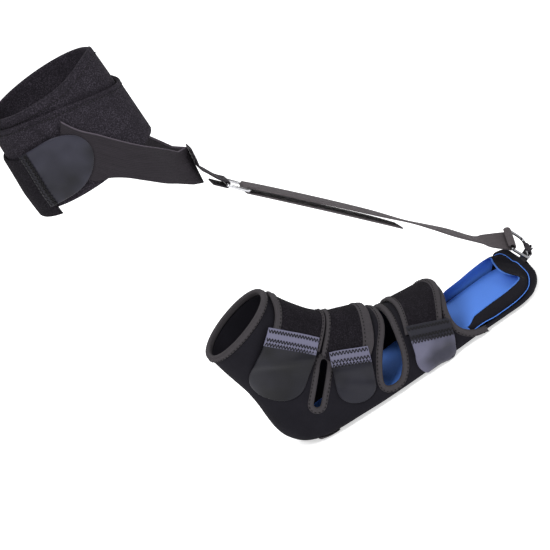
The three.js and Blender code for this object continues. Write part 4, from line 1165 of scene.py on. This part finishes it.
class SPLINT_OT_tabs(bpy.types.Operator):
    """Smooth hook tabs over the outer ends of the instep straps"""
    bl_idname = "splint.tabs"
    bl_label = "Hook tabs"

    def execute(self, context):
        sizes = context.scene.splint_sizes
        wall, pitch = sizes.tab_wall / MM, sizes.stitch_pitch / MM
        over = STRAP_BASE + sizes.strap_wall / MM + 0.8
        for name, spec in TABS.items():
            width, length, tip, depth, crease, fold, slant = spec[3:]
            lap = length * 0.28
            straight = length - tip
            rows = [straight * v for v in edged(straight, 2.0, 0.8)[:-3]]
            rows += [straight + tip * math.sin(math.pi / 2 * k / 14) for k in range(15)]
            cols = 2 * edged(width, 2.2, 0.8) - 1
            grid = np.zeros((len(rows), len(cols), 3))
            out, base = np.zeros_like(grid), np.zeros(grid.shape[:2])
            for i, along in enumerate(rows):
                beyond = max(0, along - straight) / tip
                half = width / 2 * math.sqrt(max(0.004, 1 - beyond ** 2.3))
                for j, m in enumerate(cols):
                    grid[i, j], out[i, j] = tab_point(spec, along, half * m)
                    fall = np.clip((lap * 2.1 - along) / lap, 0, 1)
                    off = (along - fold * length + slant * half * m) / 5
                    base[i, j] = over * eased(fall) + 0.3 + crease * math.exp(-off ** 2)
            tab = layer(name + "_cloth", grid, wall, LOOKS[name], base, normals=out, soft=0.8)
            dress(tab, "hook", name)
            for number, share in enumerate((0.17, 0.60, 0.84)):
                reach = width / 2 - 1.5
                row = [tab_point(spec, depth * share, m) for m in np.linspace(-reach, reach, 60)]
                line, ups = (np.array(part) for part in zip(*row))
                seam = line + ups * (over + 0.35 + wall)
                turn = -70 if number == 2 else 70
                SPOTS["zigzag"] += run_spots(seam, ups, pitch, zigzag=turn)
        return {"FINISHED"}


# The calf cuff's pieces

def calf_at(turn, height, stand, leaving=0.0):
    """Points round the cuff; past the leaving turn a band runs on straight to the front."""
    turn, height, stand = np.broadcast_arrays(
        np.asarray(turn, float), np.asarray(height, float), np.asarray(stand, float))
    table = np.array(CALF)
    level = (height - CUFF_FOOT) / CUFF_HEIGHT
    front, back, wide = (np.interp(level, table[:, 0], table[:, k]) for k in (1, 2, 3))
    front, back, wide = front * CUFF_DEPTH / 2, back * CUFF_DEPTH / 2, wide * CUFF_WIDTH / 2
    middle, deep = (front - back) / 2 - CUFF_SET_BACK, (front + back) / 2
    angle = np.radians(turn)
    past = np.radians(np.maximum(0, leaving - np.abs(turn)))
    reach = 1 / np.cos(past)
    return np.stack([middle + (deep + stand) * reach * np.cos(angle),
                     -(wide + stand) * reach * np.sin(angle), height], -1)


def calf_out(turn, height):
    """Outward directions round the cuff."""
    return unit(calf_at(turn, height, 1) - calf_at(turn, height, 0))


def calf_layer(name, turns, heights, wall, base, look, ring=False, **more):
    """A layer of cloth round the cuff, between turns and heights."""
    return layer(name, calf_at(turns, heights, 0), wall, look, base, ring,
                 normals=calf_out(turns, heights), **more)


def wrap_top(turn):
    """Height of the overwrap's upper edge."""
    c, c2 = np.cos(np.radians(turn)), np.cos(np.radians(turn * 2))
    return CUFF_TOP - CUFF_HEIGHT * (0.25 + 0.16 * c - 0.09 * (1 - c2) / 2)


def cuff_lift(turn):
    """Height of the cuff's upper edge, with its crest on the outer side."""
    wave = np.cos(np.radians((np.abs(turn) % 360 - 32) * 1.6))
    return CUFF_TOP + 5 * np.maximum(0, wave) ** 2 * (turn < 90)


WRAP_OUT = 4.1
CLOSURE_OUT = 4.7
CLOSURE_MIDDLE = CUFF_TOP - 0.74 * CUFF_HEIGHT
YOKE_IN = 5.0
YOKE_LEAVING = 36
YOKE_DROP = 40.4


class SPLINT_OT_cuff(bpy.types.Operator):
    """Calf cuff, the band over it, the closure band and its smooth tab"""
    bl_idname = "splint.cuff"
    bl_label = "Calf cuff"

    def execute(self, context):
        turns = np.arange(0, 360, 2.5)[None]
        s = edged(CUFF_HEIGHT, 4, 2.5)[:, None]
        cuff = calf_layer("calf_cuff_cloth", turns,
                          CUFF_FOOT + s * (cuff_lift(turns) - CUFF_FOOT), CUFF_WALL,
                          -CUFF_WALL, LOOKS["pile"], True, soft=CUFF_WALL / 2)
        dress(cuff, "neoprene", "calf_cuff", fill=0.8)
        low = CUFF_FOOT - 1
        wrap = calf_layer("calf_overwrap_cloth", turns, low + s * (wrap_top(turns) - low),
                          WRAP_OUT - 0.6, 0.6, LOOKS["pile"], True, soft=1.8)
        dress(wrap, "neoprene", "calf_overwrap", fill=0.8)
        self.fold()
        first, span, radius = 236, 98, 62
        turns = (first - span * edged(math.radians(span) * radius, 3, 1.5))[:, None]
        t = edged(CLOSURE_WIDTH, 3, 1.5)[None]
        band = calf_layer("calf_closure_cloth", turns, CLOSURE_MIDDLE + CLOSURE_WIDTH * (t - 0.5),
                          3.0, CLOSURE_OUT, LOOKS["loop"], crown=0.4)
        dress(band, "neoprene", "calf_closure", fill=0.7)
        self.tab()
        return {"FINISHED"}

    @staticmethod
    def fold():
        """The rolled upper edge of the overwrap, and the seams below both upper edges."""
        around = np.arange(0, 360, 3.0)
        edge = wrap_top(around) - 1.6
        out = calf_out(around, edge)
        roll = sweep("overwrap_fold", calf_at(around, edge, WRAP_OUT - 0.4),
                     everywhere((0, 0, 1), out), out, oval(1.9, 1.3, 12), LOOKS["pile"])
        dress(roll, "neoprene", fill=0.8)
        for heights, stand in ((edge - 3.4, WRAP_OUT), (cuff_lift(around) - 8.5, 0.0)):
            SPOTS["tape"] += run_spots(calf_at(around, heights, stand + 0.1), out, 3.6, True)

    def tab(self):
        root, tip, width = 142, 85, 58
        s = np.concatenate([edged(40, 2, 0.8)[:-3] * 0.6, np.linspace(0.6, 1, 20)])
        turns = root - (root - tip) * np.sin(np.pi / 2 * s)
        share = (root - turns) / (root - tip)
        beyond = np.maximum(0, share - 0.45) / 0.55
        half = width / 2 * np.sqrt(np.maximum(0.004, 1 - beyond ** 2))
        t = 2 * edged(width, 2.2, 0.8) - 1
        middle = CLOSURE_MIDDLE + width * (0.13 + 0.08 * share)
        heights = middle[:, None] + half[:, None] * t[None]
        drop = 1.2 * np.clip((root - 4 - turns) / 8, 0, 1)
        base = CLOSURE_OUT + 3.6 - drop[:, None] + 0 * t[None]
        tab = calf_layer("calf_tab_cloth", turns[:, None] + 0 * t[None], heights, 1.6, base,
                         LOOKS["calf_tab"], soft=0.8)
        dress(tab, "hook", "calf_tab")
        for turn in (root - 2.0, root - 5.5, root - 7.6):
            level = CLOSURE_MIDDLE + width * 0.13
            rows = np.linspace(level - width / 2 + 1.5, level + width / 2 - 1.5, 60)
            line = calf_at(turn, rows, CLOSURE_OUT + 5.2)
            SPOTS["zigzag"] += run_spots(line, calf_out(turn, rows), 1.9, zigzag=55)


def yoke_apex(stand):
    """Upper and lower end of the fold at the yoke's front."""
    top = calf_at(0, CUFF_FOOT - 0.391 * CUFF_HEIGHT, stand, YOKE_LEAVING)
    return top, top + np.array([-0.144, 0, -1]) * YOKE_DROP


class SPLINT_OT_yoke(bpy.types.Operator):
    """Wide webbing in a V below the cuff"""
    bl_idname = "splint.yoke"
    bl_label = "Yoke"

    def execute(self, context):
        rows = curve(YOKE, 60)
        t = edged(YOKE_WIDTH, 3, 1.0)
        a = calf_at(rows[:, 0], CUFF_FOOT + rows[:, 1] * CUFF_HEIGHT, YOKE_IN, YOKE_LEAVING)
        b = calf_at(rows[:, 2], CUFF_FOOT + rows[:, 3] * CUFF_HEIGHT, YOKE_IN, YOKE_LEAVING)
        most = np.minimum(1, YOKE_WIDTH / np.linalg.norm(b - a, axis=1))[:, None] * t[None]
        turns = rows[:, :1] + (rows[:, 2:3] - rows[:, :1]) * most
        heights = CUFF_FOOT + CUFF_HEIGHT * (rows[:, 1:2] + (rows[:, 3:4] - rows[:, 1:2]) * most)

        def band(stand):
            arm = calf_at(turns, heights, stand, YOKE_LEAVING)
            top, low = yoke_apex(stand)
            fold = top + (low - top) * t[:, None]
            bridge = [arm[-1] + (fold - arm[-1]) * k / 8 for k in range(1, 8)]
            arm = np.concatenate([arm, bridge])
            return np.concatenate([arm, [fold], (arm * np.array([1, -1, 1]))[::-1]])

        grid = band(YOKE_IN)
        out = unit(band(YOKE_IN + 1) - grid)
        piece = layer("yoke_band_cloth", grid, WEBBING, LOOKS["yoke"], normals=out, soft=0.7)
        dress(piece, "webbing", "yoke_band")
        return {"FINISHED"}


# Webbing and rings

def ribbon(name, stations, look, count):
    """Flat webbing through stations: place, direction across, width."""
    rows = curve([(*at, *across, width) for at, across, width in stations], count)
    line, width = rows[:, :3], rows[:, 6]
    along = tangents(line)
    across = rows[:, 3:6]
    across = unit(across - along * (across * along).sum(1, keepdims=True))
    thick = np.cross(along, across)
    shape = np.array(rounded(1.0, -WEBBING / 2, WEBBING / 2, 0.3, 2))
    wide = (shape[:, 0] - 0.5) * width[:, None]
    points = line[:, None] + across[:, None] * wide[..., None] + thick[:, None] * shape[:, 1:]
    uv = np.stack([run_lengths(line)[:, None] + 0 * wide, wide], -1)
    return outward(new_piece(name, points.reshape(-1, 3), tube(*wide.shape), look,
                             uv.reshape(-1, 2)))


def wire_tree():
    """Nodes that turn a closed path into round wire."""
    tree, came, gone = node_group("wire_ring", (("Wire", "Float", WIRE * MM),
                                                ("Metal", "Material", None)))
    path, run, circle, half, real, finish = map(tree.nodes.new, (
        "GeometryNodeMeshToCurve", "GeometryNodeCurveToMesh", "GeometryNodeCurvePrimitiveCircle",
        "ShaderNodeMath", "GeometryNodeRealizeInstances", "GeometryNodeSetMaterial"))
    circle.inputs["Resolution"].default_value = 16
    half.operation = "MULTIPLY"
    half.inputs[1].default_value = 0.5
    wire_up(tree, (
        (came, "Geometry", path, "Mesh"), (came, "Wire", half, 0),
        (half, 0, circle, "Radius"), (path, "Curve", run, "Curve"),
        (circle, "Curve", run, "Profile Curve"), (run, "Mesh", real, "Geometry"),
        (real, "Geometry", finish, "Geometry"), (came, "Metal", finish, "Material"),
        (finish, "Geometry", gone, "Geometry")))
    return tree


def wire_ring(name, path, metal):
    """Round wire along a closed path in millimetres."""
    n = len(path)
    mesh = raw_mesh(name + "_path", path, [(k, (k + 1) % n) for k in range(n)])
    tree = bpy.data.node_groups.get("wire_ring") or wire_tree()
    return outward(through_nodes(name, put(name + "_path", mesh), tree,
                                 {"Wire": WIRE * MM, "Metal": LOOKS[metal]}))


Y_AXIS = np.array([0.0, 1.0, 0.0])
YOKE_BAR = np.array([FOOT_REACH * 0.298, 0, CUFF_FOOT - CUFF_HEIGHT * 1.113])
TOE_BAR = np.array([FOOT_REACH * 0.969, FOOT_WIDTH * 0.13, BOOT_HEIGHT * 0.193])
PULL = TOE_BAR - YOKE_BAR
PULL_AIM = unit(PULL)
PULL_OUT = unit(np.cross(Y_AXIS, PULL_AIM))
PULL_OUT = PULL_OUT * (1 if PULL_OUT[0] > 0 else -1)
BEND = WIRE / 2 + 0.3 + WEBBING / 2
TOE_ROLL = 25
RING_AIM = unit(np.array([0.62, 0, -0.78]))
RING_OUT = unit(np.array([0.78, 0, 0.62]))
LEAD_BAR = YOKE_BAR + RING_AIM * (WIRE - YOKE_RING_LENGTH)


def rolled(degrees):
    """The direction across the pull strap, rolled about its run."""
    a = math.radians(degrees)
    return unit(Y_AXIS * math.cos(a) + PULL_OUT * math.sin(a))


BAR_AIM = rolled(TOE_ROLL)
DROP_AIM = np.array([0.36, 0.06, -0.93])
DROP_AIM = unit(DROP_AIM - BAR_AIM * (DROP_AIM @ BAR_AIM))
RING_FACE = unit(np.cross(DROP_AIM, BAR_AIM))
TOE_RING_END = TOE_BAR + DROP_AIM * TOE_RING_LENGTH


def wrapped(centre, forward, outward_way, first, last, radius, steps=9):
    """Points round a bar, in degrees from the forward direction."""
    turns = np.radians(np.linspace(first, last, steps + 1))
    return [centre + forward * math.cos(a) * radius + outward_way * math.sin(a) * radius
            for a in turns]


class SPLINT_OT_webbing(bpy.types.Operator):
    """Lead from the yoke, pull strap and the loop at the toe"""
    bl_idname = "splint.webbing"
    bl_label = "Webbing"

    def execute(self, context):
        top, low = yoke_apex(YOKE_IN + 2.0)
        front = np.array([1.0, 0, 0])
        down = [top + (low - top) * k + front * 1.3 for k in (0.04, 0.3, 0.58)]
        before = LEAD_BAR - RING_AIM * YOKE_RING_LENGTH * 0.35 + RING_OUT * BEND
        turn_off = down[2] + (before - down[2]) * 0.42 - front * 0.3
        tail = LEAD_BAR - RING_AIM * YOKE_RING_LENGTH * 0.5 - RING_OUT * BEND * 1.1
        places = down + [turn_off, before] + wrapped(LEAD_BAR, RING_AIM, RING_OUT, 90, -90,
                                                     BEND, 6) + [tail]
        lead = ribbon("yoke_lead_webbing", [(p, Y_AXIS, LEAD_WIDTH) for p in places],
                      LOOKS["lead"], 110)
        dress(lead, "strap", "yoke_lead")

        def run(rows):
            return [(YOKE_BAR + PULL * a + PULL_OUT * b, rolled(c), STRAP_WIDTH)
                    for a, b, c in rows]

        back = run(((0.575, -8.4, -2), (0.48, -6.8, 0), (0.30, -5.0, 0), (0.10, -3.4, 0)))
        away = run(((0.10, 2.6, 0), (0.30, 1.2, 0), (0.48, -0.6, -2), (0.60, -2.4, -8),
                    (0.68, -3.6, -4), (0.78, -5.4, 2), (0.88, -7.4, 0), (0.92, -6.7, 12)))
        toe_out = unit(np.cross(BAR_AIM, PULL_AIM))
        toe_out = toe_out * (1 if toe_out[0] > 0 else -1)
        turn = wrapped(YOKE_BAR, PULL_AIM, PULL_OUT, 270, 90, BEND, 8)
        roll = wrapped(TOE_BAR, PULL_AIM, toe_out, -110, 170, BEND + 0.9)
        stations = (back + [(p, Y_AXIS, 25.7) for p in turn] + away
                    + [(p, BAR_AIM, STRAP_WIDTH) for p in roll])
        strap = ribbon("pull_strap_webbing", stations, LOOKS["strap"], 420)
        dress(strap, "strap", "pull_strap")

        seat = RIM_TOP + 1.3
        base = [(np.array([FOOT_REACH * a, TOE_RING_END[1], seat + b]), Y_AXIS, 16)
                for a, b in ((0.952, 0.3), (0.965, 0.6))]
        bend = [(p, BAR_AIM, 14) for p in wrapped(TOE_RING_END, DROP_AIM, RING_FACE, -20, 95,
                                                  BEND, 6)]
        tail = [(TOE_RING_END - DROP_AIM * a + RING_FACE * b, BAR_AIM, 13)
                for a, b in ((4, 2.6), (6, 2.2))]
        loop = ribbon("toe_loop_webbing", base + bend + tail, LOOKS["lead"], 110)
        dress(loop, "webbing", "toe_loop")
        return {"FINISHED"}


class SPLINT_OT_rings(bpy.types.Operator):
    """Rectangular ring at the yoke and D-ring at the toe"""
    bl_idname = "splint.rings"
    bl_label = "Rings"

    def execute(self, context):
        middle, reach = (YOKE_BAR + LEAD_BAR) / 2, np.linalg.norm(YOKE_BAR - LEAD_BAR) / 2
        path = []
        for a, b, start in ((1, 1, 0), (-1, 1, 90), (-1, -1, 180), (1, -1, 270)):
            path += self.corner(middle + RING_AIM * a * (reach - RING_CORNER)
                                + Y_AXIS * b * (YOKE_RING_HALF - RING_CORNER),
                                RING_AIM, Y_AXIS, start)
        dress(wire_ring("yoke_ring_wire", path, "chrome"), "chrome", "yoke_ring")

        half, straight = (TOE_RING_WIDTH - WIRE) / 2, TOE_RING_LENGTH * 0.35
        path = []
        for turn in np.linspace(0, math.pi, 41):
            along = self.squared(math.sin(turn)) * (TOE_RING_LENGTH - straight)
            path.append(TOE_BAR + BAR_AIM * self.squared(math.cos(turn)) * half
                        + DROP_AIM * (straight + along))
        for hand, start in ((-1, 180), (1, 270)):
            path += self.corner(TOE_BAR + BAR_AIM * hand * (half - RING_CORNER)
                                + DROP_AIM * RING_CORNER, BAR_AIM, DROP_AIM, start)
        # The toe ring takes the darker chrome copy, its painted shade standing in for the dark
        # surroundings that it reflects.
        dress(wire_ring("toe_ring_wire", path, "shaded_chrome"), "chrome", "toe_ring")
        return {"FINISHED"}

    @staticmethod
    def corner(centre, forward, over, start):
        """Points round one rounded corner, in turns from the forward direction."""
        turns = np.radians(start + np.linspace(0, 90, 7))
        return [centre + (forward * math.cos(a) + over * math.sin(a)) * RING_CORNER
                for a in turns]

    @staticmethod
    def squared(value):
        return math.copysign(abs(value) ** 0.5, value)


class SPLINT_OT_stitches(bpy.types.Operator):
    """Seam stitches of the bound edges and the tabs"""
    bl_idname = "splint.stitches"
    bl_label = "Stitches"

    def execute(self, context):
        tape = stitches("tape_stitches", SPOTS["tape"], 2.4, 1.3, LOOKS["thread"])
        dress(tape, "binding")
        zigzag = stitches("tab_stitches", SPOTS["zigzag"], 4.6, 1.15, LOOKS["thread"])
        dress(zigzag, "hook")
        return {"FINISHED"}


# The stage, in metres and degrees
VIEW_TURN, VIEW_RISE, VIEW_ROLL = -3, 21, 35
VIEW_WIDTH = 0.55
VIEW_MIDDLE = (0.0604, 0, 0.1554)
SENSOR = 36
FLOOR = -11.0
FLOOR_HALF = 9000.0
LIGHTS = (
    ("key", (-0.7, -1.5, 2.2), 1.1, 46),
    ("fill", (1.6, -0.9, 1.4), 1.0, 16),
    ("back", (0.3, 1.6, 1.9), 1.6, 30),
)


class SPLINT_OT_stage(bpy.types.Operator):
    """Pale floor, soft light and the camera"""
    bl_idname = "splint.stage"
    bl_label = "Stage"

    def execute(self, context):
        scene = context.scene
        scene.view_settings.view_transform = "Standard"
        look = Finish("pale_floor", (0.86, 0.86, 0.87), 0.9)
        grain = look.noise(look.place(), 3.0, 2.0)
        look.set("Base Color", look.mix(grain, (0.85, 0.85, 0.86, 1), (0.89, 0.89, 0.90, 1)))
        look.set("Emission Color", (1, 1, 1, 1))
        look.set("Emission Strength", 0.6)
        corners = [(x * FLOOR_HALF, y * FLOOR_HALF, FLOOR)
                   for x, y in ((-1, -1), (1, -1), (1, 1), (-1, 1))]
        floor = new_piece("floor", corners, [(0, 1, 2, 3)], look.material)
        world = bpy.data.worlds.new("soft_room")
        scene.world = world
        world.use_nodes = True
        sky = world.node_tree.nodes["Background"]
        sky.inputs["Color"].default_value = (1.0, 1.0, 1.0, 1)
        sky.inputs["Strength"].default_value = 0.35
        for name, place, size, power in LIGHTS:
            light = bpy.data.lights.new(name, "AREA")
            light.shape, light.size, light.energy = "DISK", size, power
            lamp = bpy.data.objects.new(name, light)
            scene.collection.objects.link(lamp)
            lamp.location = place
            aim = Vector((0.08, 0, 0.18)) - Vector(place)
            lamp.rotation_euler = aim.to_track_quat("-Z", "Y").to_euler()
        self.camera(scene)
        return {"FINISHED"}

    @staticmethod
    def camera(scene):
        turn, rise, roll = (math.radians(v) for v in (VIEW_TURN, VIEW_RISE, VIEW_ROLL))
        right = Vector((math.cos(turn), math.sin(turn), 0))
        up = Vector((-math.sin(turn) * math.sin(rise), math.cos(turn) * math.sin(rise),
                     math.cos(rise)))
        back = right.cross(up)
        across = right * math.cos(roll) - up * math.sin(roll)
        above = right * math.sin(roll) + up * math.cos(roll)
        distance = scene.splint_sizes.view_distance
        data = bpy.data.cameras.new("view")
        data.sensor_width = SENSOR
        data.lens = SENSOR * distance / VIEW_WIDTH
        data.clip_end = 50
        camera = bpy.data.objects.new("view", data)
        scene.collection.objects.link(camera)
        place = Vector(VIEW_MIDDLE) + back * distance
        camera.matrix_world = Matrix(((across.x, above.x, back.x, place.x),
                                      (across.y, above.y, back.y, place.y),
                                      (across.z, above.z, back.z, place.z), (0, 0, 0, 1)))
        scene.camera = camera


PIECES = (SPLINT_OT_looks, SPLINT_OT_sleeve, SPLINT_OT_bindings, SPLINT_OT_guard,
          SPLINT_OT_straps, SPLINT_OT_tabs, SPLINT_OT_cuff, SPLINT_OT_yoke, SPLINT_OT_webbing,
          SPLINT_OT_rings, SPLINT_OT_stitches, SPLINT_OT_stage)


class SPLINT_PT_panel(bpy.types.Panel):
    """The splint's pieces, sizes and colours"""
    bl_idname = "SPLINT_PT_panel"
    bl_label = "Night splint"
    bl_space_type = "VIEW_3D"
    bl_region_type = "UI"
    bl_category = "Splint"

    def draw(self, context):
        for group in (context.scene.splint_sizes, context.scene.splint_colours):
            for name in group.__annotations__:
                self.layout.prop(group, name)
        for piece in PIECES:
            self.layout.operator(piece.bl_idname)


CLASSES = (Colours, Sizes, *PIECES, SPLINT_PT_panel)


def register():
    for kind in CLASSES:
        bpy.utils.register_class(kind)
    bpy.types.Scene.splint_colours = bpy.props.PointerProperty(type=Colours)
    bpy.types.Scene.splint_sizes = bpy.props.PointerProperty(type=Sizes)


def unregister():
    del bpy.types.Scene.splint_colours, bpy.types.Scene.splint_sizes
    for kind in reversed(CLASSES):
        bpy.utils.unregister_class(kind)


def main():
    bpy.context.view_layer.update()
    register()
    bpy.ops.splint.looks()
    bpy.ops.splint.sleeve()
    bpy.ops.splint.bindings()
    bpy.ops.splint.guard()
    bpy.ops.splint.straps()
    bpy.ops.splint.tabs()
    bpy.ops.splint.cuff()
    bpy.ops.splint.yoke()
    bpy.ops.splint.webbing()
    bpy.ops.splint.rings()
    bpy.ops.splint.stitches()
    bpy.ops.splint.stage()


if __name__ == "__main__":
    main()
